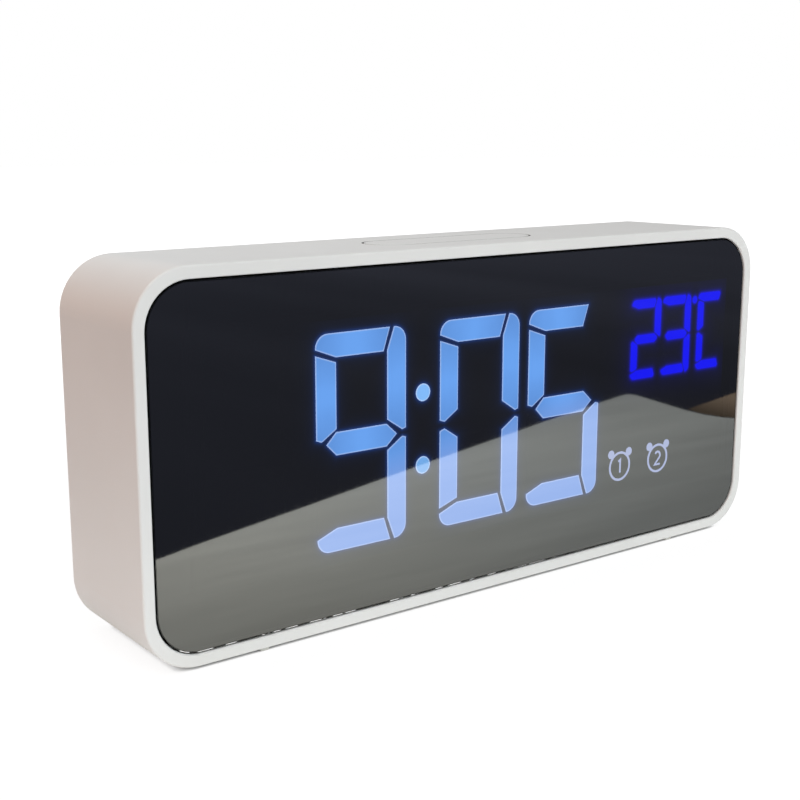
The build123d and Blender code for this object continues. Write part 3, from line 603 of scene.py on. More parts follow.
@dataclass(frozen=True)
class LitDiffuser(Finish):
    """Milky acrylic lens, moulded, lit from behind by one chip.

    It is brightest over its chip, falls off towards its ends, and a fine paler line shows along its edge
    where the light leaves the side wall.
    """

    name: str = "acrylic_diffuser_lit"
    glow: str = "#74b2ff"
    far_glow: str = "#68a0e8"
    rim: str = "#c6d9ff"
    strength: float = 1.65
    # Greyer glow of a painted reflection of the table, below a sloping line; an empty text leaves it out
    reflection_grey_glow: str = ""
    rim_mm: float = 0.3
    rim_share: float = 0.65
    rim_full: float = 0.25
    mottle_mm: float = 5.0
    mottle_spread: tuple[float, float] = (0.5, -0.25)
    reach_stops: tuple[float, float] = (0.1, 1.0)
    # Painted reflection: below a sloping line, where the mirror shows the table, the lens is made a little greyer
    reflection_slope: float = 0.125
    reflection_span: Span = Span(30.6, 36.6, 1.0, 0.0)
    skin: str = "#08090b"

    def shader(self, tree: NodeTree, place: NodeSocket) -> Node:
        """Emission from the piece's own distances to its light and to its edge, greyer below the line of a painted
        reflection.

        Args:
            tree: The material's node tree.
            place: Its Object coordinates.

        Returns:
            The node of the whole surface.
        """
        reach = add_node(tree, "Attribute", attribute_name="light_reach").outputs["Fac"]
        edge = add_node(tree, "Attribute", attribute_name="edge_mm").outputs["Fac"]
        mottle = add_node(tree, "TexNoise", place, per_metre(self.mottle_mm))
        uneven = add_node(tree, "Math", mottle, *self.mottle_spread, operation="MULTIPLY_ADD")
        spread = add_node(tree, "Math", reach, uneven, operation="ADD")
        lens = add_node(tree, "ValToRGB", spread, stops=zip(self.reach_stops, (self.glow, self.far_glow)))
        # Painted reflection: below the sloping line the glow is mixed towards a greyer colour
        if self.reflection_grey_glow:
            axes = add_node(tree, "SeparateXYZ", place).outputs
            reflection_slant = add_node(tree, "Math", axes["X"], -self.reflection_slope, axes["Z"], operation="MULTIPLY_ADD")
            low = add_node(tree, "MapRange", reflection_slant, *self.reflection_span)
            lens = add_node(tree, "Mix", low, lens, self.reflection_grey_glow, data_type="RGBA")
        full = self.rim_full * self.rim_mm
        line = add_node(tree, "MapRange", edge, full, self.rim_mm, self.rim_share, 0.0)
        seen = add_node(tree, "Mix", line, lens, self.rim, data_type="RGBA")
        glow = add_node(tree, "Emission", seen, self.strength)
        return add_node(tree, "AddShader", glow, add_node(tree, "BsdfDiffuse", self.skin))


@dataclass(frozen=True)
class SmokedFilm(Finish):
    """Black polyester film on the light box, die cut, with a faint painted glow from the lenses beside it."""

    name: str = "polyester_film_black"
    color: str = "#020202"
    fleck: str = "#030303"
    # Colours of the painted glow beside the lit time lenses and the deep blue lenses
    time_glow: str = "#2f7dff"
    blue_glow: str = "#1408ff"
    grain_mm: float = 0.3
    grain_stops: tuple[float, float] = (0.4, 0.6)

    def shader(self, tree: NodeTree, place: NodeSocket) -> Node:
        """A matt black base, with two painted glows that the piece's own attributes weigh.

        Args:
            tree: The material's node tree.
            place: Its Object coordinates.

        Returns:
            The node of the whole surface.
        """
        grain = add_node(tree, "TexNoise", place, per_metre(self.grain_mm))
        color = add_node(tree, "ValToRGB", grain, stops=zip(self.grain_stops, (self.color, self.fleck)))
        total = add_node(tree, "BsdfDiffuse", color)
        for name, tint in (("time_glow", self.time_glow), ("blue_glow", self.blue_glow)):
            amount = add_node(tree, "Attribute", attribute_name=name).outputs["Fac"]
            total = add_node(tree, "AddShader", total, add_node(tree, "Emission", tint, amount))
        return total


@dataclass(frozen=True)
class Metal(Finish):
    """Sheet or turned metal with the fine lines that rolling, drawing or turning leaves."""

    name: str = "steel_zinc_plated"
    color: str = "#b4b5b3"
    shade: str = "#9a9b9a"
    roughness: float = 0.3
    line_mm: tuple[float, float, float] = (0.15, 0.15, 2.0)
    line_noise: tuple[float, float, float] = (1.0, 4.0, 0.65)
    line_stops: tuple[float, float] = (0.3, 0.7)
    roughness_shares: tuple[float, float] = (0.7, 1.3)
    bump: float = 0.08
    bump_mm: float = 0.01

    def shader(self, tree: NodeTree, place: NodeSocket) -> Node:
        """Noise stretched along the lines, for colour, roughness and bump.

        Args:
            tree: The material's node tree.
            place: Its Object coordinates.

        Returns:
            The node of the whole surface.
        """
        stretch = add_node(tree, "Mapping", place, Scale=tuple(per_metre(size) for size in self.line_mm))
        lines = add_node(tree, "TexNoise", stretch, *self.line_noise)
        low, high = (self.roughness * share for share in self.roughness_shares)
        return add_node(
            tree,
            "BsdfPrincipled",
            add_node(tree, "ValToRGB", lines, stops=zip(self.line_stops, (self.shade, self.color))),
            Metallic=1.0,
            Roughness=add_node(tree, "MapRange", lines, To_Min=low, To_Max=high),
            Normal=add_node(tree, "Bump", self.bump, self.bump_mm * MM, Height=lines),
        )


@dataclass(frozen=True)
class CircuitBoard(Finish):
    """Glass-epoxy laminate under green solder mask, with copper tracks that show through as paler lines."""

    name: str = "laminate_solder_mask"
    mask: str = "#0f4a2b"
    track: str = "#1d6b3f"
    track_mm: float = 2.5
    track_rise_mm: float = 0.03
    roughness: float = 0.3
    ior: float = 1.5

    def shader(self, tree: NodeTree, place: NodeSocket) -> Node:
        """A brick pattern for the tracks, under a glossy mask.

        Args:
            tree: The material's node tree.
            place: Its Object coordinates.

        Returns:
            The node of the whole surface.
        """
        axes = add_node(tree, "SeparateXYZ", place).outputs
        flat = add_node(tree, "CombineXYZ", axes["X"], axes["Z"])
        colors = (self.mask, self.mask, self.track)
        shape = {"Mortar_Size": 0.1, "Mortar_Smooth": 0.2, "Brick_Width": 4.0, "Row_Height": 1.0}
        tracks = add_node(tree, "TexBrick", flat, *colors, per_metre(self.track_mm), **shape)
        bump = add_node(tree, "Bump", 0.3, self.track_rise_mm * MM, Height=tracks.outputs["Fac"])
        return add_node(tree, "BsdfPrincipled", tracks, Roughness=self.roughness, IOR=self.ior, Normal=bump)


@dataclass(frozen=True)
class CellJacket(Finish):
    """Printed PVC sleeve shrunk on a drawn steel can: dark, with a copper-coloured band and bare ends."""

    name: str = "pvc_sleeve_printed"
    sleeve: str = "#23272e"
    band: str = "#b87333"
    steel: str = "#b9b9b6"
    band_start_mm: float = 10.0
    end_mm: float = 21.4
    scuff_mm: float = 1.5
    roughnesses: tuple[float, float] = (0.22, 0.38)
    side: float = 1.0

    def shader(self, tree: NodeTree, place: NodeSocket) -> Node:
        """Hard steps along the cell for sleeve, band and steel.

        Args:
            tree: The material's node tree.
            place: Its Object coordinates.

        Returns:
            The node of the whole surface.
        """
        across = add_node(tree, "SeparateXYZ", place).outputs["X"]
        along = add_node(tree, "Math", across, self.side / MM, operation="MULTIPLY")
        band = add_node(tree, "Math", along, self.band_start_mm, operation="GREATER_THAN")
        far = add_node(tree, "Math", along, operation="ABSOLUTE")
        bare = add_node(tree, "Math", far, self.end_mm, operation="GREATER_THAN")
        scuff = add_node(tree, "TexNoise", place, per_metre(self.scuff_mm), Detail=4.0)
        rough = add_node(tree, "MapRange", scuff, 0.0, 1.0, *self.roughnesses)
        printed = add_node(tree, "Mix", band, self.sleeve, self.band, data_type="RGBA")
        color = add_node(tree, "Mix", bare, printed, self.steel, data_type="RGBA")
        return add_node(tree, "BsdfPrincipled", color, bare, rough)


class Stock(Enum):
    """The finishes that the clock is made of."""

    # Satin silver-white paint over ABS: a soft wide highlight and almost no grain
    PAINT = MouldedPlastic("abs_satin_paint", "#dcdddc", "#d8d9d8")
    # Bare ABS from a spark-eroded mould: an even fine grain that kills the highlight
    TEXTURED = MouldedPlastic("abs_spark_eroded", "#cfd0ce", "#cacbc9", 0.45, 40.0, 0.58, 0.08, 0.35, 0.03)
    # Keys, tumbled: smoother than the cover
    KEY = MouldedPlastic("abs_key_cap", "#c2c4c4", "#bdbfbf", 0.4, 8.0, 0.4, 0.05, 0.1, 0.01)
    # Thin foam feet: matt and slightly open
    FOAM = MouldedPlastic("foam_strip_cut", "#c9c9c4", "#bdbdb8", 0.5, 5.0, 0.85, 0.05, 0.8, 0.08)
    # Painted shade for the gap round the snooze button: a matt grey ring, darker than the paint
    GAP_SHADE = MouldedPlastic("silicone_seal_grey", "#3d3e3e", "#454646", 0.3, 4.0, 0.8, 0.05, 0.2, 0.01)
    # Black foam tape: matt
    TAPE = MouldedPlastic("foam_tape_black", "#0a0a0a", "#0d0d0d", 0.4, 5.0, 0.9, 0.05, 0.5, 0.05)
    # White polystyrene light box: bright, so that it sends its light forward
    LIGHT_BOX = MouldedPlastic("polystyrene_white", "#e8e8e4", "#e4e4e0", 0.4, 10.0, 0.5, 0.05, 0.1, 0.01)
    # Moulded epoxy of chips and switches: near black, half matt, with a fine grain
    EPOXY = MouldedPlastic("epoxy_moulded_black", "#161616", "#1b1b1b", 0.15, 3.0, 0.55, 0.1, 0.4, 0.01)
    # Silicone with yellow phosphor over each chip: mottled pale yellow, with a soft highlight
    PHOSPHOR = MouldedPlastic("silicone_phosphor", "#e6dc9a", "#efe9c0", 0.2, 0.8, 0.3, 0.05, 0.2, 0.01)
    # Red silicone insulation of the leads: dark red, with a soft even sheen
    INSULATION = MouldedPlastic(
        "silicone_insulation_red", "#9c1f1a", "#8e1a16", 0.2, 3.0, 0.45, 0.05, 0.2, 0.01
    )
    # Grey PVC of the flat cable: paler and darker patches about as wide as its cores
    RIBBON = MouldedPlastic("pvc_ribbon_grey", "#a9aaa6", "#b5b6b2", 0.6, 1.3, 0.5, 0.05, 0.4, 0.05)
    # Dipped epoxy bead of the sensor: dark brown and glossy
    RESIN = MouldedPlastic("epoxy_bead_dipped", "#2a211b", "#30261f", 0.3, 1.0, 0.2, 0.05, 0.2, 0.01)
    # Half mirror: a dark, sharp reflection with the lit lenses through it
    MIRROR = HalfMirrorAcrylic()
    # Lenses lit from behind: light blue, a paler colon, deep blue, and near white for the symbols. Time and colon turn
    # greyer below the line of a painted reflection
    TIME = LitDiffuser("acrylic_diffuser_time", reflection_grey_glow="#83a8ea")
    COLON = LitDiffuser("acrylic_diffuser_colon", "#8ac4ff", "#8ac4ff", "#d5e6ff", 1.8, "#6ca8e2")
    DEGREES = LitDiffuser(
        "acrylic_diffuser_deep_blue", "#0000ff", "#0000ff", "#0000ff", 1.7, rim_mm=0.45, rim_share=0.0
    )
    SYMBOL = LitDiffuser("acrylic_diffuser_symbol", "#c4cffa", "#c4cffa", "#d2dafc", 1.15)
    # Nearly black behind the mirror, so that only the lit lenses show, with a painted glow beside them
    UNLIT = SmokedFilm("acrylic_diffuser_unlit")
    FILM = SmokedFilm()
    # Plated steel: a cool grey highlight on the screws, a warmer one on contacts and socket
    ZINC = Metal("steel_zinc_plated")
    NICKEL = Metal("steel_nickel_plated", "#c9c6bd", "#b2aea4", 0.25)
    # Thin gold over copper: a warm, fairly tight highlight
    GILT = Metal("copper_gold_plated", "#d8b25c", "#c49a48", 0.25)
    # Drawn aluminium cans of the crystal and the capacitor: paler, with lines along them
    CAN = Metal("aluminium_drawn", "#d0d1d2", "#bfc0c1", 0.3)
    # Glass-epoxy boards: green and glossy, with paler tracks
    BOARD = CircuitBoard()
    # Sleeved cells: dark and glossy with a copper-coloured band. The middle one lies the other way round
    CELL = CellJacket()
    CELL_TURNED = CellJacket("pvc_sleeve_printed_turned", side=-1.0)


_materials: dict[Stock, Material] = {}


def finish(stock: Stock) -> Material:
    """The material of a finish, built the first time that it is asked for.

    Args:
        stock: The finish.

    Returns:
        Its material.
    """
    if stock not in _materials:
        _materials[stock] = stock.value.material()
    return _materials[stock]


def dress(stock: Stock, *nodes: str) -> None:
    """Gives CAD nodes one finish all over.

    Args:
        stock: The finish.
        nodes: The nodes' names.
    """
    for node in nodes:
        slots = frame["nodes"][node].data.materials
        if not len(slots):
            slots.append(finish(stock))
        for index in range(len(slots)):
            slots[index] = finish(stock)
        log.info("%s dressed in %s", node, stock.value.name)


# Sub-assemblies


@dataclass
class Case:
    """The case shell, snooze button and foot strips, and the mirror panel on its tape."""

    # Half the length, and the radius of the ends, of each oval of the ring of painted shade
    gap_shade_inner: tuple[float, float] = (21.04, 5.54)
    gap_shade_outer: tuple[float, float] = (21.5, 6.0)
    gap_shade_level: float = 0.01
    gap_shade_depth: float = 0.6
    gap_shade_crown: float = 0.06
    gap_shade_steps: int = 96
    crown_steps: int = 5

    def build(self) -> None:
        """Makes the ring of painted shade round the button and dresses the rest."""
        self.gap_shade()
        dress(Stock.PAINT, "housing_shell", "snooze_button")
        dress(Stock.FOAM, "foot_strips")
        dress(Stock.MIRROR, "mirror_panel")
        dress(Stock.TAPE, "mirror_tape")

    def gap_shade(self) -> None:
        """A thin dark ring in the gap round the snooze button: painted shade, laid where the gap has only shadow.

        Each ring of points is an oval: a half circle at either end, moved apart along X. The rings run up
        the inner side, across the crown, which is a parabola, and down the outer side.
        """
        low, high = (np.array(corner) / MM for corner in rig.box("snooze_button"))
        middle = (low + high) / 2
        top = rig.box("housing_shell")[1][2] / MM - self.gap_shade_level
        turn = np.linspace(0, 2 * np.pi, self.gap_shade_steps, endpoint=False)
        crown = np.linspace(0, 1, self.crown_steps)
        share = np.concatenate(((0.0,), crown, (1.0,)))[:, None]
        crown = -self.gap_shade_crown * (2 * crown - 1) ** 2
        height = np.concatenate(((-self.gap_shade_depth,), crown, (-self.gap_shade_depth,)))[:, None]
        sizes = zip(self.gap_shade_inner, self.gap_shade_outer)
        reach, radius = ((1 - share) * inner + share * outer for inner, outer in sizes)
        across = middle[0] + np.sign(np.cos(turn)) * (reach - radius) + radius * np.cos(turn)
        along = middle[1] + radius * np.sin(turn)
        points = np.stack((across, along, top + height + 0 * along), axis=-1)
        faces = grid_faces(*across.shape, wrap_rows=True, wrap_columns=True)
        # A dark ring of painted shade, laid in the gap
        make_piece("snooze_gap_seal", points, faces, Stock.GAP_SHADE, "foot_foam")


@dataclass
class Figure:
    """One digit: its size, its place and the segments that are lit.

    The points of a segment are a side, a share of the bar from it, a level and a share of the bar from that,
    and the number after them is the corner that is rounded.
    """

    SEGMENT_SHARES = {
        "a": (((-1, 0, 1, -0.62), (-1, 0, 1, 0), (1, -0.84, 1, 0), (1, -1.17, 1, -1), (-1, 1, 1, -1)), 1),
        "b": (((1, -0.62, 1, 0), (1, 0, 1, 0), (1, 0, 0, 0.2), (1, -0.19, 0, 0.14), (1, -0.98, 0, 0.66),
               (1, -0.98, 1, -0.97)), 1),
        "f": (((-1, 0, 1, -0.86), (-1, 1, 1, -1.2), (-1, 1, 0, 0.62), (-1, 0.27, 0, 0.15),
               (-1, 0, 0, 0.24)), None),
        "g": (((-1, 0.49, 0, 0), (-1, 0.98, 0, 0.49), (1, -1.02, 0, 0.49), (1, -0.48, 0, 0),
               (1, -1.02, 0, -0.49), (-1, 0.98, 0, -0.49)), None),
    }
    MIRRORED = {"d": "a", "c": "b", "e": "f"}
    UPRIGHT = "bcef"

    width: float
    height: float
    bar: float
    corner: float
    place: tuple[float, float]
    lit: str
    letters: str = "abcdefg"
    softness: float = 0.0

    def outline(self, letter: str) -> np.ndarray:
        """The outline of one segment, anticlockwise seen from the front.

        Args:
            letter: The segment's usual letter, from a to g.

        Returns:
            Points as x and z, in millimetres.
        """
        shares, rounded = self.SEGMENT_SHARES[self.MIRRORED.get(letter, letter)]
        way = -1 if letter in self.MIRRORED else 1
        table = np.array(shares, dtype=float)
        corners = np.column_stack(
            (
                table[:, 0] * self.width / 2 + table[:, 1] * self.bar,
                way * (table[:, 2] * self.height / 2 + table[:, 3] * self.bar),
            )
        )
        radii = np.where(np.arange(len(corners)) == rounded, self.corner, self.softness)
        points = rounded_outline(corners, radii) + np.array(self.place)
        ahead = np.roll(points, -1, 0)
        area = (points[:, 0] * ahead[:, 1] - ahead[:, 0] * points[:, 1]).sum()
        return points if area > 0 else points[::-1]


@dataclass
class Display:
    """The light box with its film, the lenses in it and the two alarm symbols."""

    SLOTS = {Stock.TIME: "time_lens", Stock.COLON: "time_lens", Stock.DEGREES: "temperature_lens"}

    digit_width: float = 21.5
    digit_height: float = 43.1
    digit_bar: float = 4.7
    digit_corner: float = 2.8
    digit_names: tuple[str, ...] = ("hour_tens", "hour_units", "minute_tens", "minute_units")
    digit_places: tuple[float, ...] = (-56.625, -32.325, -2.075, 22.225)
    time_lit: tuple[str, ...] = ("", "abcdfg", "abcdef", "acdfg")
    small_width: float = 9.6
    small_height: float = 18.2
    small_bar: float = 1.95
    small_corner: float = 1.15
    small_softness: float = 0.5
    small_places: tuple[float, ...] = (47.95, 58.25, 70.5)
    small_level: float = 12.1
    small_lit: tuple[str, ...] = ("abdeg", "abcdg", "adef")
    small_letters: tuple[str, ...] = ("abcdefg", "abcdefg", "adefg")
    colon_place: float = -17.2
    colon_levels: tuple[float, float] = (-7.5, 7.5)
    colon_radius: float = 1.8
    degree_place: tuple[float, float] = (64.4, 19.8)
    degree_radius: float = 0.8
    disc_steps: int = 48
    symbol_places: tuple[float, float] = (40.75, 53.55)
    symbol_level: float = -16.87
    ring_radius: float = 3.2
    ring_line: float = 0.55
    bell_radius: float = 1.0
    bell_place: tuple[float, float] = (2.9, 3.1)
    numeral_height: float = 3.05
    numeral_line: float = 0.5
    # The figures 1 and 2, in shares of their height and in degrees of the turn of the bowl
    one_shares: tuple[tuple[float, float], ...] = ((-0.17, 0.36), (0.05, 0.5), (0.05, -0.5))
    numeral_bowl: float = 0.29
    hook_turn: tuple[float, float] = (150.0, -40.0)
    hook_steps: int = 14
    ring_steps: int = 64
    line_steps: int = 9
    line_base: float = 0.3
    line_sharpest: float = 0.5
    film_gap: float = 0.03
    lens_gap: float = 0.08
    lens_rise: float = 0.06
    lens_depth: float = 0.9
    lens_roll: float = 0.25
    lens_stations: int = 34
    lens_shares: int = 17
    corner_slack: float = 2e-4
    symbol_reach: float = 0.3
    film_step: float = 0.3
    fine_step: float = 0.16
    film_split: float = 42.0
    # Height and fall of the painted glow beside the lit lenses
    time_halo: tuple[tuple[float, float], ...] = ((0.35, 0.25), (0.05, 1.2))
    blue_halo: tuple[tuple[float, float], ...] = ((1.2, 0.25), (0.07, 2.2))
    halo_reach: float = 12.0
    middle: float = field(init=False)
    face: float = field(init=False)
    lit_time: list[np.ndarray] = field(default_factory=list)
    lit_blue: list[np.ndarray] = field(default_factory=list)

    def __post_init__(self) -> None:
        """Takes the display's middle height and the light box's face from the CAD."""
        low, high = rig.box("housing_shell")
        self.middle = (low[2] + high[2]) / 2 / MM
        self.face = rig.box("light_box")[0][1] / MM

    def build(self) -> None:
        """Makes the lenses, the symbols and the film, and dresses the light box."""
        fields = self.fields()
        for _, figures, discs, _, lit_outlines in fields:
            lit_outlines += [figure.outline(letter) for figure in figures for letter in figure.lit]
            lit_outlines += discs
        for name, figures, discs, stock, _ in fields:
            self.figure_lenses(name, figures, discs, stock)
        self.symbols()
        self.film()
        dress(Stock.LIGHT_BOX, "light_box")

    def fields(self) -> list[tuple]:
        """The display's fields.

        Returns:
            For each field its name, its digits, its round outlines, the finish of what is lit in it, and the
            list that takes its lit outlines.
        """
        size = (self.digit_width, self.digit_height, self.digit_bar, self.digit_corner)
        fields = [
            (name, [Figure(*size, (place, self.middle), lit)], [], Stock.TIME, self.lit_time)
            for name, place, lit in zip(self.digit_names, self.digit_places, self.time_lit)
        ]
        size = (self.small_width, self.small_height, self.small_bar, self.small_corner)
        level = self.middle + self.small_level
        small = [
            Figure(*size, (place, level), lit, letters, self.small_softness)
            for place, lit, letters in zip(self.small_places, self.small_lit, self.small_letters)
        ]
        degree = self.disc(self.degree_place, self.degree_radius)
        dots = [self.disc((self.colon_place, level), self.colon_radius) for level in self.colon_levels]
        fields.append(("temperature", small, [degree], Stock.DEGREES, self.lit_blue))
        fields.append(("colon", [], dots, Stock.COLON, self.lit_time))
        return fields

    def disc(self, place: tuple[float, float], radius: float) -> np.ndarray:
        """A round outline about a place, whose height counts from the display's middle."""
        turn = np.linspace(0, 2 * np.pi, self.disc_steps, endpoint=False)
        return np.column_stack((np.cos(turn), np.sin(turn))) * radius + np.array(place) + (0.0, self.middle)

    def figure_lenses(self, name: str, figures: list[Figure], discs: list[np.ndarray], stock: Stock) -> None:
        """Makes the lit and the unlit lenses of one field, which stand for its CAD lenses.

        Args:
            name: The field's name, as in its CAD node.
            figures: The field's digits.
            discs: Round outlines, always lit.
            stock: The finish of the lit lenses.
        """
        groups: dict[bool, list[tuple]] = {True: [self.lens(outline, False) for outline in discs], False: []}
        for figure in figures:
            for letter in figure.letters:
                lens = self.lens(figure.outline(letter), letter in figure.UPRIGHT)
                groups[letter in figure.lit].append(lens)
        for lit, lenses in groups.items():
            if not lenses:
                continue
            points, faces = joined([lens[:2] for lens in lenses])
            looks = {key: np.concatenate([lens[2][key] for lens in lenses]) for key in lenses[0][2]}
            piece = make_piece(
                f"{name}_{'lit' if lit else 'unlit'}_lenses",
                points,
                faces,
                stock if lit else Stock.UNLIT,
                self.SLOTS[stock] if lit else "unlit_lens",
                looks if lit else self.halos(points[:, ::2]),
            )
            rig.replaces(piece, f"{name}_lenses")

    def lens(
        self, outline: np.ndarray, upright: bool
    ) -> tuple[np.ndarray, np.ndarray, dict[str, np.ndarray]]:
        """A domed lens on a convex outline, in the film's plane.

        Stations along the lens cut the outline in two points, and shares between them run across it. The
        face stands forward by the rise times one less an exponential of the distance to the edge, and the
        back is flat.

        Args:
            outline: The outline's points as x and z.
            upright: Whether the lens is longer upwards than sideways.

        Returns:
            Points, faces, and for each point its reach from the light and its distance to the edge.
        """
        along = outline[:, ::-1] if upright else outline
        low, high = along[:, 0].min(), along[:, 0].max()
        stations = low + (high - low) * clustered(self.lens_stations)
        stations = np.unique(np.round(np.concatenate((stations, along[:, 0])), 4))
        ahead = np.roll(along, -1, 0)
        step = ahead[:, 0] - along[:, 0]
        level = np.abs(step) < 1e-6
        step = np.where(level, 1.0, step)
        # A station on a corner counts as on both of its sides
        slack = self.corner_slack / np.abs(step)
        share = (stations[:, None] - along[None, :, 0]) / step
        crossed = (share > -slack) & (share < 1 + slack) & ~level
        across = along[None, :, 1] + np.clip(share, 0, 1) * (ahead - along)[None, :, 1]
        near = np.where(crossed, across, np.inf).min(1)[:, None]
        far = np.where(crossed, across, -np.inf).max(1)[:, None]
        width = near + (far - near) * clustered(self.lens_shares)
        length = np.broadcast_to(stations[:, None], width.shape)
        flat = np.stack((width, length) if upright else (length, width), axis=-1)
        edge = outline_distance(flat.reshape(-1, 2), outline).reshape(width.shape)
        face = self.face - self.lens_gap
        forward = face - self.lens_rise * (1 - np.exp(-edge / self.lens_roll))
        layers = [
            np.stack((flat[..., 0], depth + 0 * width, flat[..., 1]), axis=-1).reshape(-1, 3)
            for depth in (forward, face + self.lens_depth)
        ]
        faces = grid_faces(*width.shape)
        numbers = np.arange(width.size).reshape(width.shape)
        rim = np.concatenate((numbers[:, 0], numbers[-1, 1:], numbers[-2::-1, -1], numbers[0, -2:0:-1]))
        after = np.roll(rim, -1)
        walls = np.stack((rim, after, after + width.size, rim + width.size), axis=1)
        reach = np.abs(length - (low + high) / 2) / max((high - low) / 2, 1e-6)
        looks = {
            "light_reach": np.tile(reach.ravel(), 2),
            "edge_mm": np.concatenate((edge.ravel(), np.zeros(edge.size))),
        }
        return np.concatenate(layers), np.concatenate((faces, faces[:, ::-1] + width.size, walls)), looks

    def symbols(self) -> None:
        """The alarm symbols: a ring with two bells and a figure, as raised lines of one lens each."""
        half = self.numeral_height / 2
        side = self.numeral_bowl * self.numeral_height
        hook = np.radians(np.linspace(*self.hook_turn, self.hook_steps))
        bowl = np.column_stack((np.cos(hook), np.sin(hook))) * side + (0.0, half - side)
        figures = (
            np.array(self.one_shares) * self.numeral_height,
            np.vstack((bowl, ((-side, -half), (side, -half)))),
        )
        turn = np.linspace(0, 2 * np.pi, self.ring_steps, endpoint=False)
        ring = np.column_stack((np.cos(turn), np.sin(turn))) * self.ring_radius
        parts = []
        for place, figure in zip(self.symbol_places, figures):
            centre = np.array((place, self.middle + self.symbol_level))
            parts.append(self.line(ring + centre, self.ring_line, closed=True))
            parts.append(self.line(figure + centre, self.numeral_line, closed=False))
            for across in (-self.bell_place[0], self.bell_place[0]):
                bell = self.disc((place + across, self.symbol_level + self.bell_place[1]), self.bell_radius)
                parts.append(self.lens(bell, False)[:2])
        points, faces = joined(parts)
        looks = {"light_reach": np.full(len(points), self.symbol_reach), "edge_mm": np.ones(len(points))}
        piece = make_piece("alarm_symbol_lit_lenses", points, faces, Stock.SYMBOL, "symbol_lens", looks)
        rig.replaces(piece, "alarm_symbol_lenses")

    def line(self, path: np.ndarray, width: float, closed: bool) -> tuple[np.ndarray, np.ndarray]:
        """A raised line along a flat path.

        The profile is a half ellipse, carried along the path: at each point it stands square to the mean of
        the two runs that meet there, and is widened where they turn so that its width stays even.

        Args:
            path: Points as x and z.
            width: The line's width.
            closed: Whether the path joins up.

        Returns:
            Points and faces.
        """
        ahead = np.roll(path, -1, 0) - path
        behind = path - np.roll(path, 1, 0)
        if not closed:
            ahead[-1] = behind[-1]
            behind[0] = ahead[0]
        ahead /= np.linalg.norm(ahead, axis=1)[:, None]
        behind /= np.linalg.norm(behind, axis=1)[:, None]
        mean = ahead + behind
        mean /= np.linalg.norm(mean, axis=1)[:, None]
        widen = 1 / np.maximum((mean * ahead).sum(1), self.line_sharpest)
        square = np.column_stack((-mean[:, 1], mean[:, 0])) * widen[:, None]
        turn = np.linspace(0, np.pi, self.line_steps)
        aside = np.concatenate((np.cos(turn), (-1, 1))) * width / 2
        forward = np.concatenate((np.sin(turn) * self.lens_rise, (-self.line_base, -self.line_base)))
        flat = path[:, None] + square[:, None] * aside[None, :, None]
        depth = np.broadcast_to(self.face - self.lens_gap - forward, flat.shape[:2])
        points = np.stack((flat[..., 0], depth, flat[..., 1]), axis=-1)
        faces = grid_faces(len(path), len(aside), wrap_rows=closed, wrap_columns=True)
        return points.reshape(-1, 3), faces

    def halos(self, flat: np.ndarray) -> dict[str, np.ndarray]:
        """The painted glow that flat points take from the lit lenses.

        It is a sum of exponentials of the distance from the nearest lit lens: a strong one that ends close
        to the lens, and a weak one that reaches further.

        Args:
            flat: Points as x and z.

        Returns:
            The amount of each glow, by the name of its attribute.
        """
        glows = {}
        for name, outlines, halo in (
            ("time_glow", self.lit_time, self.time_halo),
            ("blue_glow", self.lit_blue, self.blue_halo),
        ):
            least = np.full(len(flat), self.halo_reach)
            for outline in outlines:
                low, high = outline.min(0) - self.halo_reach, outline.max(0) + self.halo_reach
                close = np.all((flat > low) & (flat < high), axis=1)
                least[close] = np.minimum(least[close], outline_distance(flat[close], outline))
            glows[name] = sum(
                height * (np.exp(-least / fall) - np.exp(-self.halo_reach / fall)) for height, fall in halo
            )
        return glows

    def film(self) -> None:
        """The black film on the light box: two flat grids with the painted glow at each of their points.

        The right sheet, under the temperature, has a finer grid, because its glow is stronger.
        """
        low, high = (np.array(corner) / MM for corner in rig.box("light_box"))
        for name, start, end, step in (
            ("light_box_film", low[0], self.film_split, self.film_step),
            ("temperature_film", self.film_split, high[0], self.fine_step),
        ):
            columns, rows = int((end - start) / step), int((high[2] - low[2]) / step)
            across, up = np.meshgrid(np.linspace(start, end, columns), np.linspace(low[2], high[2], rows))
            depth = np.full(across.shape, self.face - self.film_gap)
            make_piece(
                name,
                np.stack((across, depth, up), axis=-1),
                grid_faces(rows, columns)[:, ::-1],
                Stock.FILM,
                "tape",
                self.halos(np.column_stack((across.ravel(), up.ravel()))),
            )


